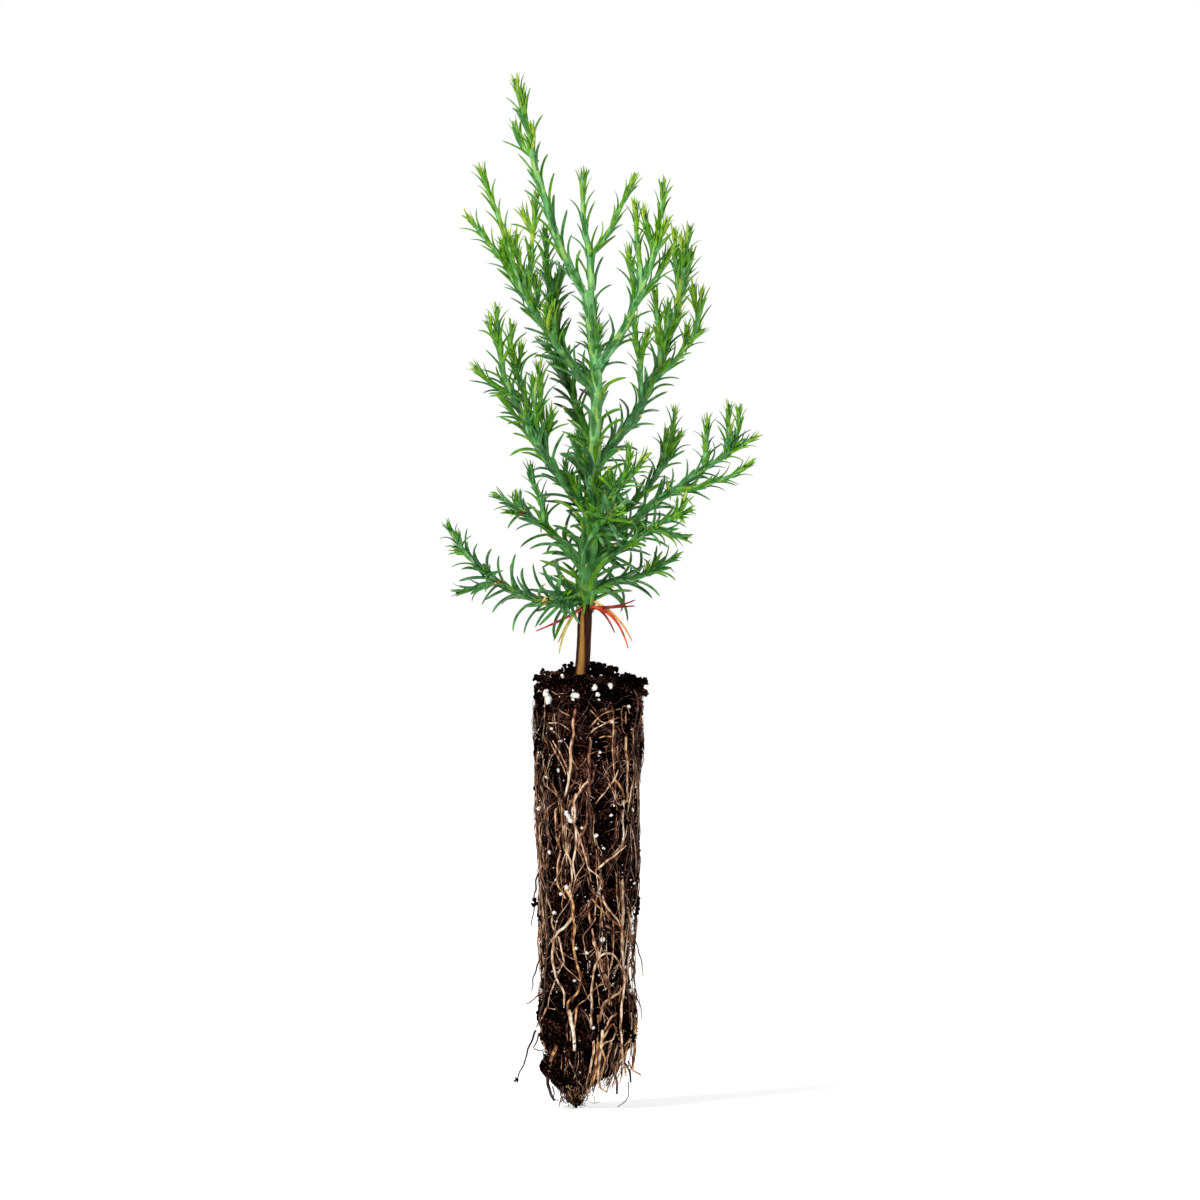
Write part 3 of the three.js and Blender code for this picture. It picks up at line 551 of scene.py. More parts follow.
def leaf_places(length, gap, tuft):
    """How far from a stem's tip its leaves stand: crowded in the tuft and spaced below it."""
    places = []
    place = FIRST_LEAF
    while place < length:
        places.append(place)
        place += np.interp(place, (0, tuft, tuft * 3), (*CROWDED_GAPS, gap))
    return np.array(places[::-1])


def clothe(path, radius_at, leaf, tone, spread, gap, rng, from_share):
    """Leaves along a stem. leaf, tone and spread are pairs of values, at its foot and its tip."""
    tuft = np.interp(spread[0], (0.1, 0.8), TUFTS)
    far = leaf_places(path.length * (1 - from_share), gap, tuft)
    far = np.maximum(far + rng.normal(0, 0.12, len(far)) * np.clip(far / tuft, 0, gap), 0.05)
    shares = 1 - far / path.length
    up = np.clip((shares - from_share) / (1 - from_share), 0, 1)
    length = np.minimum(mix(leaf, up), far * 0.7 + rng.uniform(0.65, 1.15, len(far)) * tuft)
    body = np.clip((far - 1) / (tuft * 2.2), 0, 1) ** 0.8
    stance = body * (0.22 + 0.78 * mix(spread, up))
    shade = mix(tone, up ** 1.3)
    shade = shade + 0.08 * (1 - body) + 0.16 * np.clip(1 - far / 2.4, 0, 1)
    shade = shade + rng.normal(0, 0.1, len(far)) * (1 - body)
    opening = mix(OPENING, stance)
    closing = mix(CLOSING, stance)
    worn = 0.6 + spread[0]
    add_leaves(path, shares, radius_at(shares), length, shade, opening, closing, rng, worn)


def add_stem(group, path, radius_at, tone, rng, sides=8, parts=3):
    """A stem with low ridges that wind up it as leaf bases do, greener in steps from its foot to its tip, and
    on a leafy stem darkened by painted shade in its tuft.
    """
    phase = rng.uniform(0, 6)
    tuft = max(1 - 2 * TUFTS[1] / path.length, 0.5)
    bounds = [*np.linspace(0, tuft, parts + 1), 1] if group is stem_piles else np.linspace(0, 1, parts + 1)
    for i, (start, end) in enumerate(zip(bounds[:-1], bounds[1:])):
        end = min(end + 0.03, 1)
        span = end - start
        # On a leafy stem the last piece, its tuft, takes a darker green as painted shade for the gaps between
        # its leaves.
        shade = tone[0] + (tone[1] - tone[0]) * (i + 0.5) / parts - (TUFT_PAINTED_SHADE if i == parts else 0)
        add_tube(
            group[kind_of(STEM_TONES, shade)],
            path.part(start, end),
            lambda share: radius_at(start + span * share) * (1 - 0.02 * i), sides, 1.1,
            lambda share, turn: 0.08 * np.sin(5 * turn + (start + span * share) * path.length * 1.3 + phase),
        )


def sway(path, seed):
    """A stem's path with the slight bends of a live one, still at both ends."""
    return Path(shaken(path.points, 0.3 * np.sin(math.pi * path.shares[:, None]), 14, seed, 6))


def grow_shoots(parent, rows, row, spread, tone, rng):
    for number, sub in enumerate(rows):
        seed = 7 * number + int(parent.length * 10)
        path = sway(stem_path(parent.at(sub["at"]), sub["tip"], sub["rise"], sub["end"]), seed)
        thick = TWIG_RADIUS * np.clip(path.length / 14, 0.75, 1.15)
        radius_at = lambda share: thick * (1 - TWIG_TAPER * share)
        shoot_tone = (mix(tone, 0.35 + 0.65 * sub["at"]), tone[1])
        add_stem(stem_piles, path, radius_at, shoot_tone, rng, parts=2)
        leaf = (mix(row["leaf"], SHOOT_LEAF_AGE), row["leaf"][1])
        clothe(path, radius_at, leaf, shoot_tone, (spread * 0.6, spread * 0.3), row["gap"], rng, 0.03)
        grow_shoots(path, sub["shoots"], row, spread * 0.8, shoot_tone, rng)


trunk_heights = np.linspace(0, FORK, 60)
trunk_x = on_stations(TRUNK_BOW, trunk_heights)
trunk_path = Path(np.stack([trunk_x, 0 * trunk_x, SOIL + trunk_heights], axis=-1))
LIMB_FIT = 0.92  # a limb's radius, of that in the solids
OVERLAP = 0.98  # share of a bough's bare part where its leafy part starts
BARE_FOOT = 2.4  # length without leaves beside the trunk
STUB_DROPS = (7, 4)  # below the fork, where the foot of a top's stem is rooted
STUB_RADIUS = 0.7


def grow_bough(row, seed):
    rng = np.random.default_rng(seed)
    start = trunk_path.at(row["height"] / FORK)
    is_top = row["side"] is not None
    if is_top:
        start = start + np.array([row["side"] * (row["foot"] + 0.15), 0, 0.3])
    whole = sway(stem_path(start, row["tip"], row["rise"], row["end"]), seed)
    foot = row["foot"] * LIMB_FIT
    taper = TOP_TAPER if is_top else BOUGH_TAPER
    radius_at = lambda share: foot * (1 - taper * share)
    tone = row["tone"]
    spread = on_stations(SPREADS, row["height"])
    if is_top:
        rooted = [trunk_path.at((FORK - drop) / FORK) for drop in STUB_DROPS]
        stub = Path(np.concatenate([rooted, whole.part(0, 0.08).points[1:]]))
        add_tube(stem_piles["bright"], stub, lambda share: mix((STUB_RADIUS, foot), share ** 0.5), 10, 0.8)
    else:
        lower = whole.part(0, row["bare"])
        lower_tone = (tone[0], tone[0] + 0.1)
        add_stem(limb_piles, lower, lambda share: radius_at(share * row["bare"]), lower_tone, rng, 10, 1)
    begin = row["bare"] * OVERLAP
    leafy_radius = lambda share: radius_at(mix((begin, 1), share))
    add_stem(stem_piles, whole.part(begin, 1), leafy_radius, (tone[0] + 0.08, tone[1]), rng)
    leaf = (row["leaf"][0] * 1.08, row["leaf"][1])
    clothe(whole, radius_at, leaf, tone, (spread, spread * 0.45), row["gap"], rng, BARE_FOOT / whole.length)
    grow_shoots(whole, row["shoots"], row, spread, tone, rng)
    for bough_name, share, number in BUD_SCALES:
        if bough_name == row["name"]:
            add_bud_scales(whole.at(share), number, seed)


# Where brown bud scales sit: bough, how far along it, and how many
BUD_SCALES = [
    ("left_lowest", 0.55, 7), ("left_lowest", 0.3, 3), ("front_lowest", 0.95, 7), ("front", 0.8, 4),
    ("left_low", 0.7, 3), ("right_low", 0.6, 3),
]


def add_bud_scales(place, number, seed):
    """Small dry scales in front of a stem."""
    rng = np.random.default_rng(seed)
    for kind in ("brown", "dusky", "yellow"):
        off = rng.normal(0, 0.5, (number, 3)) + (0, -1.1, 0.2)
        add_grains(tip_piles[kind], place + off, rng.uniform(0.3, 0.62, number), rng, flat=0.35)


# The trunk's leaves: the space between them, their length, tone and angles, by height
TRUNK_GAPS = [(22, 0.62), (57, 1.1), (80, 1.8), (FORK, 2.3)]
TRUNK_LENGTHS = [(21, 12), (30, 14), (57, 11), (75, 7.8), (95, 6.6), (FORK, 6)]
TRUNK_TONES = [(21, 0.54), (50, 0.52), (80, 0.5), (FORK, 0.52)]
TRUNK_OPENING = [(22, 50), (60, 42), (FORK, 32)]
TRUNK_CLOSING = [(22, 112), (60, 104), (FORK, 88)]
SHEATH_FOOT = 21.0


def grow_trunk_foliage():
    rng = np.random.default_rng(31)
    heights = [TRUNK_GAPS[0][0]]
    while heights[-1] < FORK - 2:
        heights.append(heights[-1] + on_stations(TRUNK_GAPS, heights[-1]))
    heights = np.array(heights)
    length, tone, opening, closing, radius = (
        on_stations(stations, heights)
        for stations in (TRUNK_LENGTHS, TRUNK_TONES, TRUNK_OPENING, TRUNK_CLOSING, SHEATH_RADII)
    )
    add_leaves(trunk_path, heights / FORK, radius, length, tone, opening, closing, rng, worn=1.7, broad=1.2)
    core = trunk_path.part(SHEATH_FOOT / FORK, 1)
    core_radius = lambda share: on_stations(SHEATH_RADII, mix((SHEATH_FOOT, FORK), share))
    add_stem(sheath_piles, core, core_radius, (0.36, 0.95), rng, 14, 4)
    for height, tip, shade in TRUNK_SHOOTS:
        row = {"leaf": (7, 5), "gap": 1.2}
        grow_shoots(trunk_path, shoots([(height / FORK, *tip)]), row, 0.4, (shade, shade + 0.2), rng)


# Dead needles that hang from the sheath's foot: where each leaves the trunk, its knee, its tip and colour
DEAD_NEEDLES = [
    ((0.6, -2, 21), (9, -4, 19.5), (12, -5.5, 8.4), "red"),
    ((1.6, -1.6, 22.5), (9.5, -2.5, 18.5), (13.2, -3, 10.5), "amber"),
    ((0.6, -1.8, 20.8), (8, -3.5, 20), (14.1, -3.5, 22.8), "dark"),
    ((0.4, -2, 20.2), (9, -3, 20.6), (14, -2.6, 21), "dark"),
    ((-2.2, -1.8, 21), (-7, -4, 16), (-8.7, -5, 6.9), "yellow"),
    ((-1.6, -2, 20.4), (-6, -5, 17.4), (-15.6, -7, 13.5), "crimson"),
    ((-4, 1.5, 26), (-7, 3, 24), (-4.6, 5, 22), "dark"),
    ((-1.5, 2, 21), (-5, 7, 19), (-9, 9, 10), "amber"),
    ((1, 2, 21), (5, 7, 20), (8, 11, 13), "crimson"),
]
dead_piles = new_piles(("red", "amber", "dark", "yellow", "crimson"))


def add_dead_needles():
    for start, knee, tip, name in DEAD_NEEDLES:
        a, b, c = (np.array(p, float) + (0, 0, SOIL) for p in (start, knee, tip))
        path = Path(bezier([a, a + (b - a) * 0.8, c + (b - c) * 0.6, c], 24))
        add_tube(dead_piles[name], path, lambda share: 0.48 - 0.3 * share ** 2, 5, 0.8)


# Root plug

ROOT_STEP = 0.9  # between the rings of most roots
MEAN_RADIUS = 15  # of the plug
NARROW = 21  # height below which the plug narrows to its foot
PLUG_REACH = 15.6  # radius of its upper half
HIGHEST_GRAIN = 127  # on its side
root_piles = new_piles(("tan", "light", "golden", "brown", "dull", "pale"))


def plug_radius(bearing, height):
    angle = np.radians(bearing)
    heave = sum(np.sin(around * angle + up * height + shift) for around, up, shift in PLUG_WAVES)
    fade = np.clip(np.asarray(height) / PLUG_FOOT_BLEND, 0, 1)
    fade = fade * fade * (3 - 2 * fade)
    return on_stations(PLUG_RADII, height) + PLUG_ROUGHNESS * heave * fade


def on_plug(bearing, height, lift=0.0):
    """Places on the soil's side, or above it by lift."""
    place = polar(plug_radius(bearing, height) + lift, bearing, height)
    place[..., 0] += on_stations(PLUG_SHIFT, height)
    return place


def hollow(bearing, height):
    """How deep the soil's hollow on the right is, which roots cross."""
    apart = (np.asarray(bearing) - HOLLOW_BEARING + 180) % 360 - 180
    far = (apart / HOLLOW_SPREAD) ** 2 + ((height - HOLLOW_HEIGHT) / HOLLOW_TALL) ** 4
    return HOLLOW_DEPTH * np.exp(-far)


SECTORS = 240
SIDE_RINGS = 300
TOP_RINGS = 55
# The soil's lumps on its side and on its top: size, span and seed
SIDE_LUMPS = [(0.3, 6, 1), (0.22, 2.6, 2), (0.16, 1.3, 3), (0.1, 0.7, 4)]
TOP_LUMPS = [(0.6, 5, 4), (0.35, 1.8, 5), (0.2, 0.8, 6)]
RAGGED_TOP = 24  # below it the side gets ragged, over RAGGED_BLEND
RAGGED_BLEND = 8
RAGGEDNESS = 1.5
VOID_DEPTH = 1.7  # of the side's pits
VOID_START = 0.35  # the waves' height from which they are pits


def lumps(points, sizes):
    return sum(size * waviness(points, span, seed) for size, span, seed in sizes)


def soil_body():
    """The plug's soil: a pitted side, a ragged foot and an uneven top."""
    heights = np.linspace(0, RIM, SIDE_RINGS)
    bearings = np.arange(SECTORS) * 360 / SECTORS
    height, bearing = np.meshgrid(heights, bearings, indexing="ij")
    skin = on_plug(bearing, height)
    voids = VOID_DEPTH * np.clip(waviness(skin, 8, 9) - VOID_START, 0, 1)
    ragged = RAGGEDNESS * waviness(skin * (1, 1, 0.5), 6, 8)
    ragged *= np.clip((RAGGED_TOP - height) / RAGGED_BLEND, 0, 1)
    relief = (lumps(skin, SIDE_LUMPS) - voids + ragged) * np.clip(height / 5, 0.2, 1)
    rings = [*on_plug(bearing, height, -0.4 + relief - hollow(bearing, height))]
    rim = rings[-1]
    for share in np.linspace(1, 0, TOP_RINGS + 2)[1:-1]:
        flat = rim * (share, share, 1)
        bulge = (SOIL - 0.6 - RIM) * np.clip((1 - share) * 4, 0, 1)
        flat[:, 2] += bulge + lumps(flat, TOP_LUMPS) * np.clip((1 - share) * 6, 0, 1) - 0.3
        rings.append(flat)
    centres = [(PLUG_SHIFT[0][1], 0, 0), (0, 0, SOIL - 0.8)]
    count = len(rings)
    pile = Pile()
    pile.add(np.concatenate([*rings, centres]), ring_faces(count, SECTORS), end_faces(count, SECTORS))
    return pile


SHORTEST_ROOT = 5  # steps
SHORTEST_FORKED = 8
FEWEST_RINGS = 7
ROOT_TAPER = 0.45  # share of its radius that a root loses
KINK_ODDS = 0.05  # of a sharp turn at a step of a root
KINK = 38  # degrees
STRAIGHTENING = 0.86  # how much of its turn a root keeps at each step
WEAVE = 0.3  # how far a root rises from the soil and sinks into it
DIVE = 0.9  # how deep its ends go


def creep(rng, bearing, height, heading, length, wander, lift):
    """A root's course over the plug's side as bearings, heights and lifts. heading is its turn from
    straight down in degrees and wander how far it strays from that."""
    count = max(FEWEST_RINGS, int(length / ROOT_STEP))
    step = length / count
    angle = np.zeros(count)
    for i in range(1, count):
        kink = rng.normal(0, KINK) if rng.uniform() < KINK_ODDS else 0
        angle[i] = STRAIGHTENING * angle[i - 1] + rng.normal(0, wander) + kink
    turned = np.radians(heading + angle)
    across = np.cumsum(np.sin(turned)) * step
    heights = height - np.cumsum(np.cos(turned)) * step
    weave = lift + WEAVE * np.sin(np.arange(count) * step / rng.uniform(1.6, 4.5) + rng.uniform(0, 6))
    near = np.minimum(np.arange(count), np.arange(count)[::-1]) * step
    keep = (heights > 0.5) & (heights < RIM - 0.6)
    keep &= np.cumprod(keep) > 0
    course = (bearing + np.degrees(across / MEAN_RADIUS), heights, weave - DIVE * np.exp(-near / 0.7))
    return [values[keep] for values in course]


def lay_root(kind, points, thick, taper, sides=5, spacing=ROOT_STEP):
    """A root through points. taper is the share of its radius that it loses."""
    add_tube(root_piles[kind], Path(points), lambda share: thick * (1 - taper * share), sides, spacing)


def add_root(course, kind, thick, sides=5):
    if len(course[0]) >= SHORTEST_ROOT:
        lay_root(kind, on_plug(*course), thick, ROOT_TAPER, sides)


# Kinds of root over the plug's side: how many, from what height to what, their headings and stray, length,
# radius, how many side roots and how many companions each has, and the colours that they are dealt.
ROOT_ZONES = [
    (62, (34, 108), 9, 4.5, (18, 62), (0.17, 0.36), 2, 2, ("tan", "light", "brown", "dull")),
    (66, (32, 112), 20, 7.0, (10, 34), (0.11, 0.24), 1, 1, ("brown", "tan", "dull", "light")),
    (115, (56, 110), 10, 6.0, (12, 42), (0.08, 0.17), 0, 1, ("brown", "tan", "brown", "dull", "light")),
    (170, (98, 122), 70, 12.0, (5, 16), (0.06, 0.12), 0, 0, ("dull", "brown", "dull", "brown", "tan")),
    (26, (20, 62), 38, 9.0, (8, 28), (0.16, 0.36), 1, 1, ("tan", "brown", "dull", "golden")),
    (190, (30, 112), 80, 12.0, (4, 13), (0.06, 0.13), 0, 0, ("brown", "dull", "tan", "dull")),
]
EDGE_BEARINGS = (352, 330, 92, 188, 208, 268)  # of the bundles that run down the plug
BUNDLED = 0.4  # share of the straighter roots that join a bundle
BUNDLE_STRAY = 30


def beside(rng, course):
    """A companion's course, which runs along part of a root's own."""
    bearing, height, lift = course
    count = len(bearing)
    first, last = sorted(rng.integers(0, count + 1, 2))
    apart = rng.choice([-1, 1]) * rng.uniform(1.4, 3.6)
    weave = rng.uniform(0.4, 1.6) * np.sin(np.arange(count) * rng.uniform(0.12, 0.4) + rng.uniform(0, 6))
    moved = (bearing + apart + weave, height, lift + rng.uniform(-0.2, 0.15))
    return [values[first:last] for values in moved]


def add_roots():
    rng = np.random.default_rng(11)
    for number, low_high, stray, wander, lengths, radii, side_roots, companions, kinds in ROOT_ZONES:
        for _ in range(number):
            height = rng.uniform(*low_high)
            length = rng.uniform(*lengths)
            bundle = rng.uniform() < BUNDLED and stray < BUNDLE_STRAY
            bearing = rng.choice(EDGE_BEARINGS) + rng.normal(0, 6) if bundle else rng.uniform(0, 360)
            thick = rng.uniform(radii[0] ** 0.5, radii[1] ** 0.5) ** 2
            top = min(height + length / 2, RIM - 1)
            course = creep(rng, bearing, top, rng.normal(0, stray), length, wander, rng.uniform(-0.25, 0.3))
            kind = kinds[rng.integers(len(kinds))]
            add_root(course, kind, thick)
            for _ in range(rng.poisson(companions)):
                companion = beside(rng, course)
                other_kind = kinds[rng.integers(len(kinds))]
                add_root(companion, other_kind, thick * rng.uniform(0.4, 0.75), 4)
            for _ in range(rng.poisson(side_roots)):
                if len(course[0]) < SHORTEST_FORKED:
                    break
                i = rng.integers(2, len(course[0]) - 2)
                heading = rng.choice([-1, 1]) * rng.uniform(25, 65)
                reach = rng.uniform(4, 15)
                branch = creep(rng, course[0][i], course[1][i], heading, reach, 7, rng.uniform(-0.15, 0.25))
                add_root(branch, kind, thick * 0.55, 4)


# Roots on the plug's front that stand out: colour, radius and course, from the front as x, z, x, z ...
FRONT_ROOTS = [
    ("tan", 0.46, -3.8, 119.4, -4.4, 116, -4.3, 113, -4.8, 110.4),
    ("light", 0.48, -4.7, 111, -5, 106, -5.2, 101, -6.1, 97, -6.9, 94),
    ("brown", 0.5, 0.6, 112, 0.5, 105, 0.4, 98, 0.3, 92, 1, 86, 0.6, 80),
    ("golden", 0.42, 7.4, 99.4, 8.8, 98.2, 10.1, 96, 10.8, 93.6, 10.4, 91),
    ("pale", 0.5, 10.6, 93, 10.2, 90, 10.3, 86.5, 10.5, 82, 10.3, 79),
    ("tan", 0.38, 11.2, 112, 11.4, 107, 11.8, 102, 11.6, 97, 11.9, 92),
    ("light", 0.22, 9.2, 102, 7, 97.5, 4, 94, 2.4, 91.5),
    ("light", 0.18, -12.3, 115.8, -9, 115.8, -7, 115, -5.1, 113.7),
    ("tan", 0.17, -9.3, 121, -8.1, 119, -6.6, 118.4, -5.1, 117.6),
    ("tan", 0.17, 0.6, 119.7, 2.7, 117.6, 3.9, 116, 5.7, 115.8, 9, 116),
    ("tan", 0.2, 0.6, 114.3, 2.1, 116.4, 4.2, 118.2, 6.6, 119.4, 9.6, 120),
    ("light", 0.2, 0.6, 112.4, 1.8, 114, 4.2, 115.2, 6.6, 116.4, 9.3, 117.6),
    ("tan", 0.18, 3.4, 111.2, 5.1, 112, 7.5, 111.6, 9.6, 112.2),
    ("tan", 0.18, 9.9, 119.7, 9.9, 117, 10.2, 114, 11.1, 112.4),
    ("tan", 0.24, 11.3, 119, 11.1, 117.6, 11.5, 115.6),
    ("tan", 0.18, 9.8, 118, 10.4, 121, 11.8, 120.8, 12.4, 118.6),
    ("light", 0.22, -10.6, 110.8, -8, 106, -6.2, 102.6, -5.6, 99),
    ("tan", 0.22, -11.4, 110.4, -9.6, 106.6, -7.6, 103, -6.4, 100),
    ("tan", 0.34, -9.4, 90, -9.9, 84, -8.4, 78, -9, 73, -9.3, 68, -6.5, 63),
    ("light", 0.36, -4.2, 93, -4, 86, -3.4, 80, -4.5, 74, -3.6, 68),
    ("light", 0.3, -7.5, 79, -5, 74.5, -4.8, 69, -5.6, 64),
    ("golden", 0.44, -6.9, 67, -4.5, 62.4, -3.9, 55, -4.3, 47.5, -2.9, 43, -2.1, 38.5, -3.1, 35.2, -6,
     32.4, -6.1, 28.8),
    ("pale", 0.62, -5.6, 30, -5.1, 26.4, -4.3, 23.4, -4.2, 20.4, -4.2, 18),
    ("golden", 0.34, -3.2, 31, -4, 26, -4.4, 23),
    ("light", 0.38, -9.9, 51.9, -10.5, 47, -10.4, 43, -9.4, 39.6, -7.2, 35.6, -6.9, 31),
    ("pale", 0.48, -4.6, 57.4, -6.6, 55, -8.6, 53.6, -10.2, 51),
    ("light", 0.36, 0.8, 24.5, 1.2, 31, 1.1, 37, 1.9, 43.2, 4, 46.8, 7, 47.4, 9.4, 44.6, 10.9, 39),
    ("light", 0.46, 10, 70, 10.3, 64, 10.6, 58, 10.1, 51, 10.5, 44, 10.8, 37, 10, 31, 9.7, 24, 10.2, 16,
     11.4, 10),
    ("tan", 0.4, 3.5, 27, 4.4, 32, 6.8, 33.8, 9.6, 35.2, 11.6, 38.8),
    ("light", 0.34, 4.2, 64, 6, 60.4, 8.4, 57.6, 10, 54.6),
    ("light", 0.36, 2.4, 72, 6, 75, 9.4, 77.4, 11.8, 79.4),
    ("light", 0.42, 1.9, 21, 1.4, 17, 1.1, 14, 0.5, 11.4),
    ("golden", 0.46, 3, 20.4, 2.4, 15, 2, 11, 1.5, 8.2),
    ("dull", 0.18, 1.6, 9, 1.5, 5.6),
    ("light", 0.46, 4.4, 24, 3.8, 18, 3.2, 14, 2.8, 10.4, 3.5, 7, 4.6, 5.6, 5.8, 5.2),
    ("golden", 0.36, 4, 19, 5, 15.6, 4.9, 12.6, 4, 9.6),
    ("golden", 0.56, -9.4, 19, -10.8, 15.6, -11.3, 12.6, -11.7, 10),
    ("dull", 0.6, -11.7, 10.6, -12.3, 7.2, -11.2, 4.4, -9.9, 2.6),
    ("tan", 0.3, -12.2, 31, -13.6, 27.6, -15.2, 24.6),
    ("golden", 0.6, 14, 26, 14.2, 20, 13.8, 15.6, 13.5, 12),
    ("tan", 0.34, 12, 14.4, 13.5, 11.4, 15.8, 10),
    ("brown", 0.5, 7, 14.4, 8.1, 11.4, 8.7, 8.4, 8.8, 4.6),
    ("brown", 0.3, 9, 15.4, 8.9, 12, 8.4, 9.4),
    ("dull", 0.42, 10.8, 14, 12.6, 11.4, 12.8, 8),
    ("light", 0.3, 4, 19, 5.2, 20.6, 7.4, 21, 8.6, 23.4),
    ("golden", 0.3, 3.9, 20.6, 5.6, 24, 7, 26.4, 8.4, 25, 9.2, 21),
    ("tan", 0.34, 5, 24.4, 6.6, 27.6, 8.6, 29),
    ("dull", 0.17, 12.2, 8, 12.4, 4, 11.4, 2.2, 9, 0.6),
]


def fine_line(flat, axes, count):
    """Points at even steps on a line that is given as flat numbers."""
    points = np.reshape(flat, (-1, axes))
    given = np.linspace(0, 1, len(points))
    fine = np.linspace(0, 1, count)
    return np.stack([np.interp(fine, given, points[:, k]) for k in range(axes)], axis=-1)


def add_front_roots():
    for kind, thick, *line in FRONT_ROOTS:
        count = max(14, int(abs(line[1] - line[-1]) / ROOT_STEP) + 8)
        course = fine_line(line, 2, count)
        course[1:-1] = (course[:-2] + course[1:-1] + course[2:]) / 3
        x, z = course.T
        reach = on_stations(PLUG_RADII, np.maximum(z, NARROW)) - np.clip(NARROW - z, 0, NARROW) * 0.25
        away = np.sqrt(np.maximum((reach + 0.3) ** 2 - x ** 2, 9))
        place = shaken(np.stack([x, -away, z], axis=-1), 0.14, 5, 60, 5)
        fine = np.linspace(0, 1, count)
        to_end = fine if z[-1] < 20 else np.minimum(fine, 1 - fine)
        place[:, 1] += np.exp(-to_end * 22)
        swell = lambda share: thick * (1 + 0.1 * np.sin(share * 40)) * (1 - 0.3 * share)
        add_tube(root_piles[kind], Path(place), swell, 7, ROOT_STEP)


def add_strand(seed, corners, thick, kind, curl):
    """A root that hangs with a wobble, above the floor. curl is the length of its waves."""
    line = Path(bezier(corners, 24))
    points = shaken(line.points, 0.5 * line.shares[:, None], curl, 40 + 3 * seed, 6)
    points[:, 2] = np.maximum(points[:, 2], thick)
    lay_root(kind, points, thick, 0.6)


HANGING = 96  # roots that come out above the narrow foot, and as many that come out of the foot
RAGGED_TIP = -4.2  # where the ones out of the foot meet
HANGING_KINDS = ("tan", "light", "brown", "golden", "dull", "dull")


def add_hanging_roots():
    """Roots that come out of the lower side and hang round the narrow foot."""
    rng = np.random.default_rng(13)
    for i in range(HANGING):
        bearing = rng.uniform(-120, 120)
        top = rng.uniform(20, 34)
        spread = rng.uniform(4, 13.5)
        foot = 3 + 0.6 * spread + rng.uniform(-2.6, 3.5)
        start = on_plug(bearing, top, -0.8)
        knee = polar(spread * 0.4 + 8.6, bearing + rng.normal(0, 3), 18)
        tip = polar(spread, bearing + rng.normal(0, 9), foot)
        corners = [start, start * 0.4 + knee * 0.6, knee, tip]
        add_strand(i, corners, rng.uniform(0.12, 0.34), rng.choice(HANGING_KINDS), 6)
    for i in range(HANGING):
        bearing = rng.uniform(0, 360)
        start = on_plug(bearing, rng.uniform(7, 20), -0.6)
        knee = on_plug(bearing, rng.uniform(3.5, 8), rng.uniform(0.2, 1.4))
        tip = np.array([RAGGED_TIP, 0, rng.uniform(0.2, 3.4)]) + rng.normal(0, 1, 3) * (2.4, 2.4, 0)
        corners = [start, knee, knee * 0.5 + tip * 0.5, tip]
        add_strand(100 + i, corners, rng.uniform(0.1, 0.24), rng.choice(HANGING_KINDS[2:]), 3)


# Roots that stand off the plug's sides: colour, radius and course as x, y, z, x, y, z ...
LOOSE_ROOTS = [
    ("dull", 0.36, -15.6, -3, 23.4, -17.4, -4, 19.8, -18.3, -5, 15.9, -19.5, -5.2, 12.6, -21.3, -5.5, 9),
    ("dull", 0.27, -14.6, -4, 22.4, -16.2, -5, 18.3, -14.4, -5, 17.4, -12.4, -5, 18.4),
    ("dull", 0.18, -13.6, -3, 17.4, -13.2, -4, 14.4, -11.4, -4, 13.6),
    ("brown", 0.34, -13.6, -5, 75, -15.6, -6, 68, -16.2, -6.4, 60, -16.9, -6.6, 55),
    ("brown", 0.3, -14.2, -2, 46, -15.9, -3, 41, -17, -3.4, 35.4),
    ("brown", 0.3, -13.2, -4, 35, -15.4, -5, 33.6, -18.4, -6, 31.6),
    ("brown", 0.24, 14, -4, 36, 15.6, -5, 31, 16.2, -5.2, 27),
    ("brown", 0.26, 13.6, -6, 52, 15.8, -7, 46, 16.4, -7.6, 40),
    ("dull", 0.26, -8.4, -4.5, 8.4, -8.2, -4, 5, -7.4, -3.6, 3, -6.6, -3.4, 1.2),
    ("dull", 0.2, -7.6, -3.8, 4, -8.3, -4, 2, -8.7, -4, 0.5),
    ("dull", 0.2, -5.6, -2.4, 4, -6.2, -2.6, 1.8, -5.9, -2.6, 0.3),
    ("brown", 0.22, -3.2, -2.4, 5, -2.2, -2.8, 3, -1.5, -3, 0.8),
    ("dull", 0.18, -4.4, -2, 3, -4.8, -2.4, 1.4, -4.3, -2.4, 0.2),
    ("dull", 0.2, -2, -5, 7.6, -1, -5, 6, -0.6, -5, 4.6),
    ("dull", 0.24, -11, -6.5, 7, -9.8, -6.5, 4.8, -10.5, -6.4, 3.4, -9, -6, 2.6),
]
WISPS = 70


def add_side_wisps():
    """Fine roots that stand off the plug's side."""
    rng = np.random.default_rng(17)
    for kind, thick, *line in LOOSE_ROOTS:
        lay_root(kind, shaken(fine_line(line, 3, 20), 0.2, 5, 80, 5), thick, 0.5, spacing=0.8)
    for _ in range(WISPS):
        bearing = rng.uniform(0, 360)
        top = rng.uniform(16, 124)
        share = np.linspace(0, 1, 14)
        height = top - rng.uniform(2, 12) * share
        out = rng.uniform(0.5, 1.6) * np.sin(math.pi * share * rng.uniform(0.5, 1)) - 0.4
        course = Path(on_plug(bearing + rng.normal(0, 6) * share, height, out))
        add_tube(root_piles["dull"], course, lambda share: 0.13 - 0.08 * share, 4, 1.0)


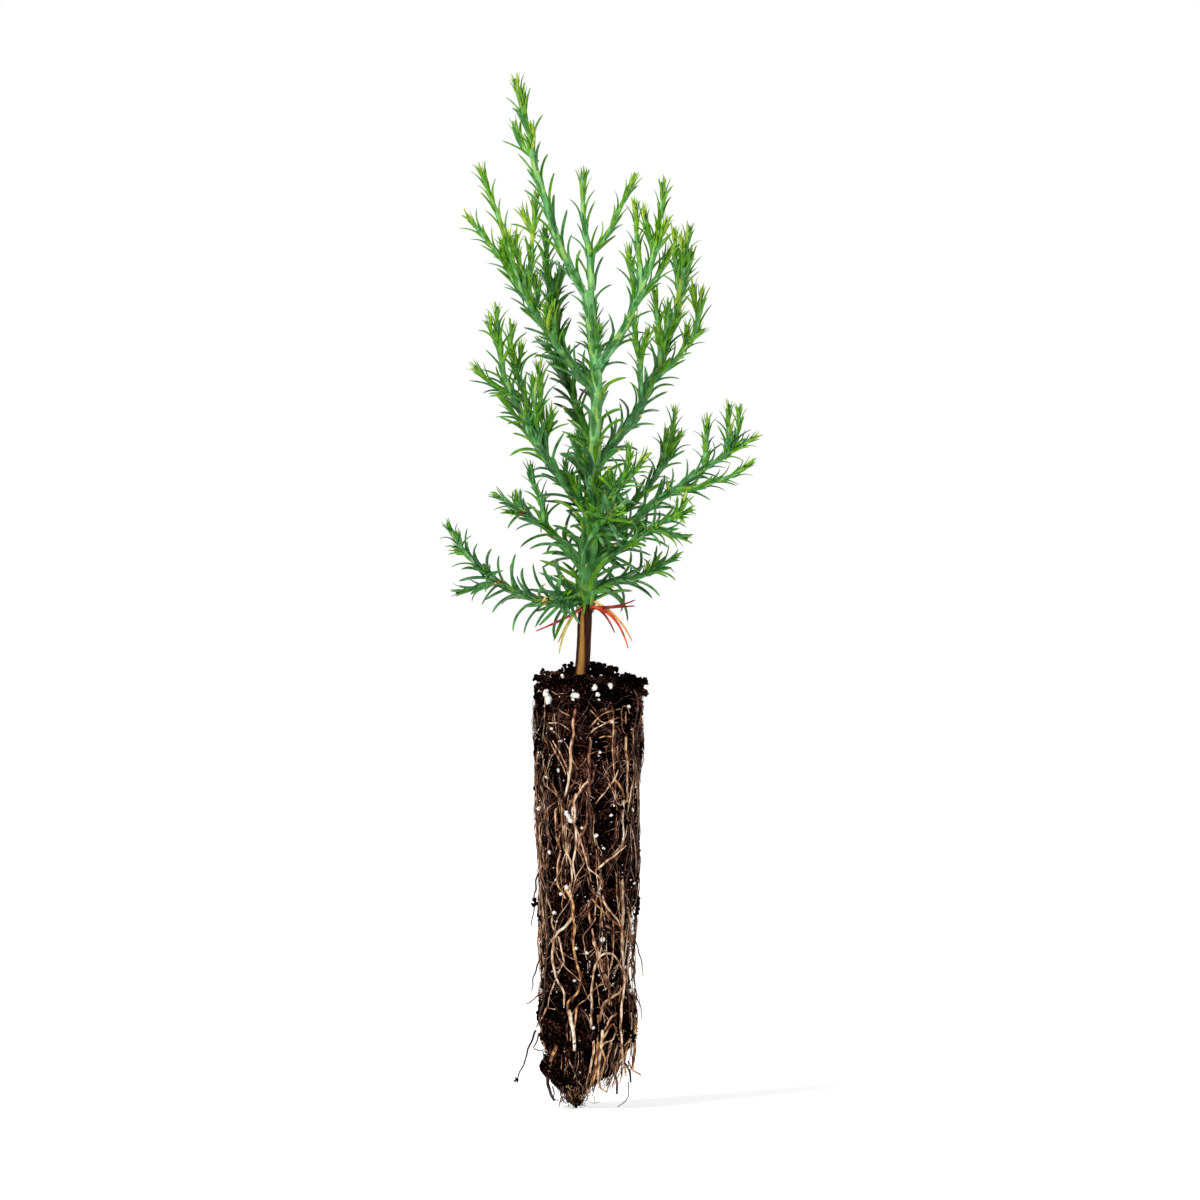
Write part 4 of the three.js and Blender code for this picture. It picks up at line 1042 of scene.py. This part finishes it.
# Piles of crumbs on the plug's top: x, y, how wide, how high over the soil, and how many chains of crumbs
CRUMB_PILES = [
    (-9.6, -6, 2.2, 1.7, 22), (-6.7, -5, 0.8, 4.6, 14), (-12.8, -5, 0.5, 2.3, 5), (-4.4, -5, 1.2, 2.2, 8),
    (3.2, -5, 1.9, 4.4, 52), (6.2, -5, 1.3, 3.2, 22), (1.7, -4, 0.5, 5.2, 7), (10, -5, 2, -0.9, 12),
    (12.2, -6, 0.5, 0.6, 4), (14.6, -5, 1.2, -1, 6), (17, -3, 0.7, -0.6, 3), (17, -4, 0.7, -4.4, 7),
    (14, 3, 2.4, -1, 9), (9, 8, 3, 0.4, 12), (1, 10, 3, 1.6, 13), (-7, 9, 3, 1.4, 12), (-13, 4, 2, 0, 8),
    (-3, -11, 2.6, 0.4, 8), (6, -11, 2.6, 0, 8),
]
SCATTERED_CRUMBS = 620  # on top, beside the piles
CRUMBS_ON_SIDE = 2300
CRUMBS_AT_FOOT = 800
# Sizes of scattered crumbs and the shares of each
TOP_CRUMBS = {0.25: 0.4, 0.42: 0.36, 0.6: 0.18, 0.9: 0.06}
SIDE_CRUMBS = {0.17: 0.36, 0.28: 0.36, 0.43: 0.22, 0.8: 0.06}
FOOT_CRUMBS = {0.2: 0.3, 0.32: 0.36, 0.44: 0.28, 0.7: 0.06}
CRUMB_REACH = 18.4  # of any crumb on top, from the middle
TRUNK_CLEARANCE = 2.6
# Crumbs that cling to the ends of loose roots: x, y, z and size
CLINGING_CRUMBS = [
    (-21.4, -5.5, 8.9, 0.5), (-21.9, -5.4, 8.4, 0.36), (-21.1, -5.6, 8.2, 0.3), (-15.9, -6.3, 62.6, 0.8),
    (-16.3, -6.4, 61.2, 0.65), (-15.5, -6.2, 61.6, 0.6), (14.6, -3, 64.6, 0.8), (15.2, -3, 63.2, 0.6),
    (14.9, -3.4, 61.6, 0.85), (15.2, -3, 59.9, 0.6), (14.7, -3, 58.6, 0.7),
]


def add_crumbs():
    """Crumbs of soil on the plug's top, in chains that leave gaps, at its rim and on its side."""
    rng = np.random.default_rng(19)
    pile = Pile()
    count = SCATTERED_CRUMBS
    radius = PLUG_REACH * np.sqrt(rng.uniform(0.03, 1, count))
    size = dealt(rng, count, TOP_CRUMBS)
    centres = polar(radius, rng.uniform(0, 360, count), SOIL - 0.8 + rng.uniform(-0.2, 0.5, count))
    centres[:, 2] -= np.clip(radius - 11, 0, 5) * 0.5
    places = [*centres]
    sizes = [*size]
    for x, y, wide, high, chains in CRUMB_PILES:
        for _ in range(chains):
            off = rng.normal(0, 0.5, 2) * wide
            floor = SOIL - 1 + min(high, 0)
            rise = max(high, 0) * math.sqrt(max(0, 1 - (off ** 2).sum() / wide ** 2 / 1.6))
            ceiling = floor + 1 + rise
            place = np.array([x + off[0], y + off[1], floor + rng.uniform(0, 0.8) * rise])
            for _ in range(rng.integers(6, 15)):
                crumb = 0.18 + 0.5 * rng.uniform(0, 1) ** 1.6
                step = unit(rng.normal(size=3) + (0, 0, 0.5)) * crumb * 1.5
                place = place + step * (1, 1, np.sign(ceiling - place[2] - crumb) if step[2] > 0 else 1)
                places.append(place)
                sizes.append(crumb)
    centres = np.array(places)
    size = np.array(sizes)
    aside = centres[:, 0] - TRUNK_BOW[0][1]
    clear = np.hypot(aside, centres[:, 1]) > TRUNK_CLEARANCE + size
    clear &= np.hypot(centres[:, 0], centres[:, 1]) < CRUMB_REACH
    clear &= (np.abs(aside) > 2) | (centres[:, 2] < SOIL + 0.3)
    add_grains(pile, centres[clear], size[clear], rng)
    clinging = np.array(CLINGING_CRUMBS)
    add_grains(pile, clinging[:, :3], clinging[:, 3], rng)
    count = CRUMBS_ON_SIDE
    height = rng.uniform(1, HIGHEST_GRAIN, count)
    size = dealt(rng, count, SIDE_CRUMBS)
    bearing = rng.uniform(0, 360, count)
    add_grains(pile, on_plug(bearing, height, -0.2 - hollow(bearing, height)), size, rng)
    count = CRUMBS_AT_FOOT
    height = rng.uniform(1, RAGGED_TOP, count)
    size = dealt(rng, count, FOOT_CRUMBS)
    add_grains(pile, on_plug(rng.uniform(0, 360, count), height, rng.uniform(-0.3, 0.7, count)), size, rng)
    return pile


# Larger grains of perlite as x, z and size on the front, and bearing, height and size elsewhere
FRONT_PERLITE = [
    (-12.4, 124.6, 1.25), (-12.1, 123.5, 1.35), (-11.7, 122.4, 1.25), (-3.6, 123.8, 1.3), (2, 126.2, 1.05),
    (3, 124.2, 0.8), (3.3, 122.7, 0.4), (6.7, 126.8, 0.9), (7.2, 116, 0.5), (12.2, 120.6, 0.5),
    (-4.4, 125.4, 0.4), (-10.8, 114, 0.5), (-6.4, 89, 0.95), (-5.6, 88, 1), (-5.2, 86.6, 1.1),
    (14.4, 120, 0.7), (4.6, 78.4, 0.65), (2.4, 82.2, 0.6), (6.9, 88.2, 0.5), (7.8, 91.2, 0.4),
    (3.6, 107.1, 0.45), (3, 115.5, 0.4), (-6.2, 66.6, 0.8), (4.4, 51.2, 0.8), (3, 64.6, 0.8),
    (12.8, 56.8, 0.9), (13, 53, 0.9), (1.6, 25, 0.6), (-10, 59, 0.6), (12.6, 35.6, 0.6), (-3.6, 48.6, 0.6),
]
OTHER_PERLITE = [
    (70, 98, 1.4), (145, 48, 1.3), (200, 90, 1.0), (20, 66, 1.0), (100, 120, 1.2), (165, 112, 1.1),
]
SUNK = 0.35  # of their size, in the soil
FINE_PERLITE = {0.14: 0.42, 0.2: 0.34, 0.3: 0.18, 0.5: 0.06}
FINE_GRAINS = 460
TOP_GRAINS = 22  # on the plug's top, within TOP_REACH of its middle
TOP_REACH = 14


def add_perlite():
    rng = np.random.default_rng(23)
    pile = Pile()
    x, z, size = np.transpose(FRONT_PERLITE)
    reach = plug_radius(270 + np.degrees(np.arcsin(x / PLUG_REACH)), z) - SUNK * size
    away = np.sqrt(np.maximum(reach ** 2 - x ** 2, 1))
    add_grains(pile, np.stack([x, -away, z], axis=-1), size, rng, rough=0.2)
    bearing, height, size = np.transpose(OTHER_PERLITE)
    add_grains(pile, on_plug(bearing, height, -SUNK * size), size, rng, rough=0.2)
    count = FINE_GRAINS
    bearing = rng.uniform(0, 360, count)
    height = HIGHEST_GRAIN * rng.uniform(0.02, 1, count) ** 0.75
    size = dealt(rng, count, FINE_PERLITE)
    add_grains(pile, on_plug(bearing, height, 0.05 - hollow(bearing, height)), size, rng, rough=0.25)
    radius = TOP_REACH * np.sqrt(rng.uniform(0.1, 1, TOP_GRAINS))
    centres = polar(radius, rng.uniform(0, 360, TOP_GRAINS), SOIL + 0.1)
    add_grains(pile, centres, rng.uniform(0.2, 0.6, TOP_GRAINS), rng, rough=0.25)
    return pile


# Materials

# Colours are as a screen shows them, from 0 to 255, and a stem's fourth is the tint of its patches.
LEAF_COLOURS = {
    # leaf_shade and leaf_dark are painted shade: darker copies of the greens for leaves in the plant's shade.
    "leaf_shade": [(10, 46, 0), (28, 78, 5), (56, 114, 18)],
    "leaf_dark": [(26, 78, 5), (58, 118, 16), (94, 152, 38)],
    "leaf_old": [(35, 85, 40), (62, 115, 61), (102, 151, 96)],
    "leaf_mid": [(45, 104, 39), (73, 138, 63), (114, 171, 101)],
    "leaf_young": [(56, 116, 6), (86, 148, 22), (126, 180, 54)],
    "leaf_bright": [(78, 138, 8), (110, 164, 24), (148, 194, 60)],
    "leaf_lime": [(112, 154, 20), (150, 184, 46), (188, 212, 98)],
    "needle_tip_yellow": [(150, 140, 50), (196, 184, 84), (220, 210, 124)],
    "needle_tip_brown": [(70, 30, 22), (118, 56, 40), (152, 92, 60)],
    "needle_tip_dusky": [(60, 54, 34), (90, 78, 54), (120, 110, 80)],
    "needle_red": [(170, 36, 20), (226, 74, 38), (240, 120, 70)],
    "needle_amber": [(206, 130, 60), (232, 178, 96), (244, 208, 140)],
    "needle_dark": [(96, 16, 14), (142, 30, 24), (176, 60, 44)],
    "needle_yellow": [(170, 160, 50), (208, 198, 78), (228, 220, 130)],
    "needle_crimson": [(130, 30, 44), (176, 52, 64), (206, 96, 96)],
}
STEM_COLOURS = {
    # stem_dark is painted shade, for stems in the plant's shade and in crowded tufts.
    "stem_dark": [(24, 70, 8), (52, 110, 22), (90, 148, 54), (66, 106, 28)],
    "stem_old": [(40, 92, 44), (72, 128, 72), (120, 172, 118), (118, 158, 64)],
    "stem_mid": [(56, 122, 66), (98, 164, 102), (160, 212, 158), (160, 198, 92)],
    "stem_bright": [(68, 138, 70), (110, 176, 106), (168, 216, 152), (158, 200, 84)],
}
ROOT_COLOURS = {
    "root_tan": [(84, 46, 29), (158, 108, 72), (224, 182, 142)],
    "root_light": [(132, 88, 62), (200, 158, 122), (244, 218, 188)],
    "root_golden": [(104, 56, 26), (178, 122, 68), (232, 188, 132)],
    "root_brown": [(38, 14, 9), (90, 50, 33), (156, 108, 78)],
    "root_dull": [(20, 8, 6), (54, 31, 23), (106, 74, 57)],
    "root_pale": [(170, 132, 98), (222, 196, 164), (250, 240, 222)],
}
STREAK_COLOURS = [(0.35, (216, 162, 80)), (0.75, (178, 118, 58)), (0.95, (64, 26, 22)), (1.0, (44, 14, 14))]
BARK_COLOURS = [(0.35, (26, 8, 8)), (0.6, (112, 64, 46))]
SOIL_COLOURS = [(0.7, (0, 0, 0)), (0.79, (14, 6, 5)), (0.86, (46, 24, 18)), (0.93, (98, 62, 48))]
PERLITE_COLOURS = [(0.3, (176, 170, 158)), (0.5, (236, 234, 228)), (0.7, (250, 249, 246))]
PATCHES = [(0.5, (0, 0, 0, 1)), (0.62, (0.7, 0.7, 0.7, 1))]  # share of the tint, not as on a screen
PATCH_SCALE = 230
STREAK_X = -2.35  # of the bark's golden streak at the soil, in millimetres
STREAK_LEAN = 0.05  # how far it moves to the right for its height
STREAK_WAVER = 1.6  # of its edges
STREAK_FOOT = 1.45  # half its width at the soil
STREAK_HEAD = 0.5  # and at its top
STREAK_TOP = 20
GRAIN_SHARE = 0.25  # of the bark's grain over the streak


def linear(colour):
    """A colour on a screen in the renderer's linear values."""
    shares = [value / 255 for value in colour]
    return (*(s / 12.92 if s <= 0.04045 else ((s + 0.055) / 1.055) ** 2.4 for s in shares), 1.0)


def feed(tree, node, inputs):
    """Sets a node's inputs to values, and links those that are given another node's socket."""
    for name, value in inputs.items():
        if isinstance(value, bpy.types.NodeSocket):
            tree.links.new(value, node.inputs[name])
        else:
            node.inputs[name].default_value = value


def add_node(tree, kind, inputs):
    node = tree.nodes.new(f"ShaderNode{kind}")
    feed(tree, node, inputs)
    return node


def new_material(name, roughness, specular):
    looks[name] = bpy.data.materials.new(name)
    looks[name].use_nodes = True
    tree = looks[name].node_tree
    shader = tree.nodes["Principled BSDF"]
    feed(tree, shader, {"Roughness": roughness, "Specular IOR Level": specular})
    return tree, shader


def add_noise(tree, scale, detail=4.0, stretch=(1, 1, 1), distortion=0.0):
    """Noise in the plant's own metres."""
    where = add_node(tree, "TexCoord", {}).outputs["Object"]
    place = add_node(tree, "Mapping", {"Vector": where, "Scale": stretch}).outputs["Vector"]
    values = {"Vector": place, "Scale": scale, "Detail": detail, "Distortion": distortion}
    return add_node(tree, "TexNoise", values).outputs["Fac"]


def add_ramp(tree, source, stops, shown=True):
    """Colours for a socket's values, each as a screen shows it or else linear."""
    ramp = add_node(tree, "ValToRGB", {"Fac": source})
    elements = ramp.color_ramp.elements
    while len(elements) < len(stops):
        elements.new(0.5)
    for element, (place, colour) in zip(elements, stops):
        element.position = place
        element.color = linear(colour) if shown else colour
    return ramp.outputs["Color"]


def add_blend(tree, share, first, second):
    blend = add_node(tree, "Mix", {})
    blend.data_type = "RGBA"
    feed(tree, blend, {"Factor": share, "A": first, "B": second})
    return blend.outputs["Result"]


def add_bump(tree, shader, height, strength, distance):
    bump = add_node(tree, "Bump", {"Height": height, "Strength": strength, "Distance": distance})
    feed(tree, shader, {"Normal": bump.outputs["Normal"]})


def mottled(name, colours, scale, roughness, specular, bump, distance, stretch=(1, 1, 1), tint=None,
            stops=(0.3, 0.5, 0.72)):
    """A surface whose colour drifts between three, with fine relief, and turns to the tint in patches."""
    tree, shader = new_material(name, roughness, specular)
    colour = add_ramp(tree, add_noise(tree, scale, stretch=stretch), list(zip(stops, colours)))
    if tint:
        patches = add_ramp(tree, add_noise(tree, PATCH_SCALE, detail=2), PATCHES, shown=False)
        colour = add_blend(tree, patches, colour, linear(tint))
    feed(tree, shader, {"Base Color": colour})
    add_bump(tree, shader, add_noise(tree, scale * 3.1, detail=3, stretch=stretch), bump, distance)


def add_math(tree, operation, first, second):
    """A number worked out from two, each a socket or a value."""
    node = add_node(tree, "Math", {0: first, 1: second})
    node.operation = operation
    return node.outputs["Value"]


def bark_material():
    """Dark maroon young bark with a golden streak, front and back, that widens to its foot."""
    tree, shader = new_material("bark", roughness=0.55, specular=0.08)
    place = add_node(tree, "TexCoord", {}).outputs["Object"]
    split = add_node(tree, "SeparateXYZ", {"Vector": place})
    rise = add_math(tree, "SUBTRACT", split.outputs["Z"], SOIL * MM)
    middle = add_math(tree, "ADD", add_math(tree, "MULTIPLY", rise, STREAK_LEAN), STREAK_X * MM)
    noise = add_noise(tree, 620, detail=3, stretch=(1, 1, 0.1), distortion=0.5)
    waver = add_math(tree, "MULTIPLY", add_math(tree, "SUBTRACT", noise, 0.5), STREAK_WAVER * MM)
    aside = add_math(tree, "ADD", add_math(tree, "SUBTRACT", split.outputs["X"], middle), waver)
    half = add_node(tree, "MapRange", {
        "Value": rise, "From Max": STREAK_TOP * MM, "To Min": STREAK_FOOT * MM, "To Max": STREAK_HEAD * MM,
    })
    share = add_math(tree, "DIVIDE", add_math(tree, "ABSOLUTE", aside, 0.0), half.outputs["Result"])
    grain = add_noise(tree, 1500, detail=5, stretch=(1, 1, 0.25))
    streak = add_ramp(tree, share, STREAK_COLOURS)
    bark = add_ramp(tree, grain, BARK_COLOURS)
    feed(tree, shader, {"Base Color": add_blend(tree, GRAIN_SHARE, streak, bark)})
    add_bump(tree, shader, grain, 0.5, 0.0003)


def soil_material():
    """Moist peat: near black, with brown fibres and fine grit, and broad black patches of painted shade that
    stand for shaded pits.
    """
    tree, shader = new_material("soil", roughness=0.9, specular=0.0)
    # Broad noise patches turn the soil black. This is painted shade of deep pits, placed by noise and not by
    # the side's real pits.
    painted_pit_shade = add_math(tree, "MULTIPLY", add_noise(tree, 150, detail=2), 0.5)
    shade = add_math(tree, "ADD", add_noise(tree, 1700, detail=6), painted_pit_shade)
    feed(tree, shader, {"Base Color": add_ramp(tree, shade, SOIL_COLOURS)})
    add_bump(tree, shader, add_noise(tree, 2200, detail=6), 0.9, 0.0006)


def perlite_material():
    tree, shader = new_material("perlite", roughness=0.65, specular=0.4)
    noise = add_noise(tree, 900, detail=5)
    feed(tree, shader, {"Base Color": add_ramp(tree, noise, PERLITE_COLOURS)})
    add_bump(tree, shader, noise, 0.6, 0.0004)


for name, colours in LEAF_COLOURS.items():
    mottled(name, colours, scale=420, roughness=0.36, specular=0.22, bump=0.25, distance=0.00012)
for name, (*colours, tint) in STEM_COLOURS.items():
    mottled(name, colours, scale=900, roughness=0.42, specular=0.08, bump=0.5, distance=0.0003,
            stretch=(1, 1, 0.2), tint=tint)
for name, colours in ROOT_COLOURS.items():
    mottled(name, colours, scale=760, roughness=0.45, specular=0.3, bump=0.6, distance=0.0002,
            stretch=(1, 1, 0.5), stops=(0.4, 0.5, 0.62))
bark_material()
soil_material()
perlite_material()


# The plant

BARK_TOP = 30  # inside the leaf sheath


def bark_relief(share, turn):
    ridges = 0.07 * np.sin(7 * turn + share * 9) + 0.05 * np.sin(13 * turn - share * 20)
    return ridges + 0.35 * np.exp(-share * BARK_TOP / 1.6)


def make_bark():
    pile = Pile()
    part = trunk_path.part(0, BARK_TOP / FORK)
    add_tube(pile, part, lambda share: on_stations(TRUNK_RADII, share * BARK_TOP), 28, 0.5, bark_relief)
    return pile


def add_pieces(kind, group, look, slot, replaced, sharp=None):
    """A piece of each pile that holds anything."""
    for name, pile in group.items():
        if pile.count:
            pile.mesh(f"{kind}_{name}", f"{look}_{name}", slot, replaced, sharp)


for number, row in enumerate([*TOPS, *BOUGHS]):
    grow_bough(row, 100 + number)
grow_trunk_foliage()
add_dead_needles()
add_roots()
add_front_roots()
add_hanging_roots()
add_side_wisps()

add_pieces("leaves", leaf_piles, "leaf", "foliage", [*FOLIAGE, *SHEATHS], sharp=38)
add_pieces("needle_tips", tip_piles, "needle_tip", "foliage", [*FOLIAGE, *SHEATHS], sharp=38)
add_pieces("dead_needles", dead_piles, "needle", "leaf_sheath", ["sheath_low"])
add_pieces("twigs", stem_piles, "stem", "foliage", FOLIAGE)
add_pieces("boughs", limb_piles, "stem", "green_wood", LIMBS)
add_pieces("leaf_sheath", sheath_piles, "stem", "leaf_sheath", SHEATHS)
make_bark().mesh("trunk_bark", "bark", "bark", ["trunk"])
soil_body().mesh("soil", "soil", "root_plug", ["root_plug"])
add_crumbs().mesh("soil_crumbs", "soil", "root_plug", ["root_plug"])
add_perlite().mesh("perlite", "perlite", "root_plug", ["root_plug"])
add_pieces("roots", root_piles, "root", "root_plug", ["root_plug"])


# Floor, light and camera

WHITE = (1, 1, 1, 1)
FLOOR_WHITE = (0.9, 0.9, 0.9, 1)
FRAME_WIDTH = 360  # of the picture at the plant, in millimetres
AIM = Vector((3.6, 0, 152.4)) * MM
CAMERA_DISTANCE = 2.2
FLOOR_HOLE = 0.001  # radius in metres, under the plug's foot
FLOOR_EDGE = 1.0  # where the floor gives way to its surround
FLOOR_REACH = 8
FLOOR_SIDES = 96
FLOOR_GLOW = 0.5  # keeps the floor white under a light that is soft on the plant
SURROUND_GLOW = 1.0
DIM = 0.2  # the world's light on the plant


def add_floor(name, inner, outer, glow):
    """A level white ring that glows a little."""
    look = f"{name}_white"
    tree, shader = new_material(look, roughness=0.8, specular=0.2)
    feed(tree, shader, {"Base Color": FLOOR_WHITE, "Emission Color": WHITE, "Emission Strength": glow})
    bearings = np.arange(FLOOR_SIDES) * 360 / FLOOR_SIDES
    rings = np.concatenate([polar(radius, bearings, 0) for radius in (inner, outer)])
    data = bpy.data.meshes.new(name)
    data.from_pydata(rings.tolist(), [], ring_faces(2, FLOOR_SIDES).tolist())
    data.materials.append(looks[look])
    floor = add_object(name, data)


def make_world():
    """A dim world that lights the plant, behind a white backdrop that only the camera sees."""
    world = bpy.data.worlds.new("studio")
    world.use_nodes = True
    tree = world.node_tree
    dim = tree.nodes["Background"]
    feed(tree, dim, {"Color": WHITE, "Strength": DIM})
    backdrop = add_node(tree, "Background", {"Color": WHITE})
    seen = add_node(tree, "LightPath", {}).outputs["Is Camera Ray"]
    sides = {"Fac": seen, 1: dim.outputs["Background"], 2: backdrop.outputs["Background"]}
    choice = add_node(tree, "MixShader", sides)
    feed(tree, tree.nodes["World Output"], {"Surface": choice.outputs["Shader"]})
    bpy.context.scene.world = world


def add_light(name, place, size, power):
    light = bpy.data.lights.new(name, "AREA")
    light.shape = "DISK"
    light.size = size
    light.energy = power
    lamp = add_object(name, light)
    lamp.location = place
    lamp.rotation_euler = (AIM - Vector(place)).to_track_quat("-Z", "Y").to_euler()


add_floor("floor", FLOOR_HOLE, FLOOR_EDGE, FLOOR_GLOW)
add_floor("surround", FLOOR_EDGE, FLOOR_REACH, SURROUND_GLOW)
make_world()
add_light("key", (-0.7, -0.9, 1.3), 0.35, 20)
add_light("fill", (0.9, -1.1, 0.5), 0.7, 3)
add_light("rim", (0.4, 0.9, 0.9), 0.7, 6)
bpy.context.scene.view_settings.view_transform = "Standard"

camera = bpy.data.cameras.new("camera")
camera.sensor_width = 36
camera.lens = camera.sensor_width * CAMERA_DISTANCE / (FRAME_WIDTH * MM)
camera.clip_end = 20
eye = add_object("camera", camera)
eye.location = AIM + Vector((0, -CAMERA_DISTANCE, 0))
eye.rotation_euler = (math.pi / 2, 0, 0)
bpy.context.scene.camera = eye

bpy.context.view_layer.update()
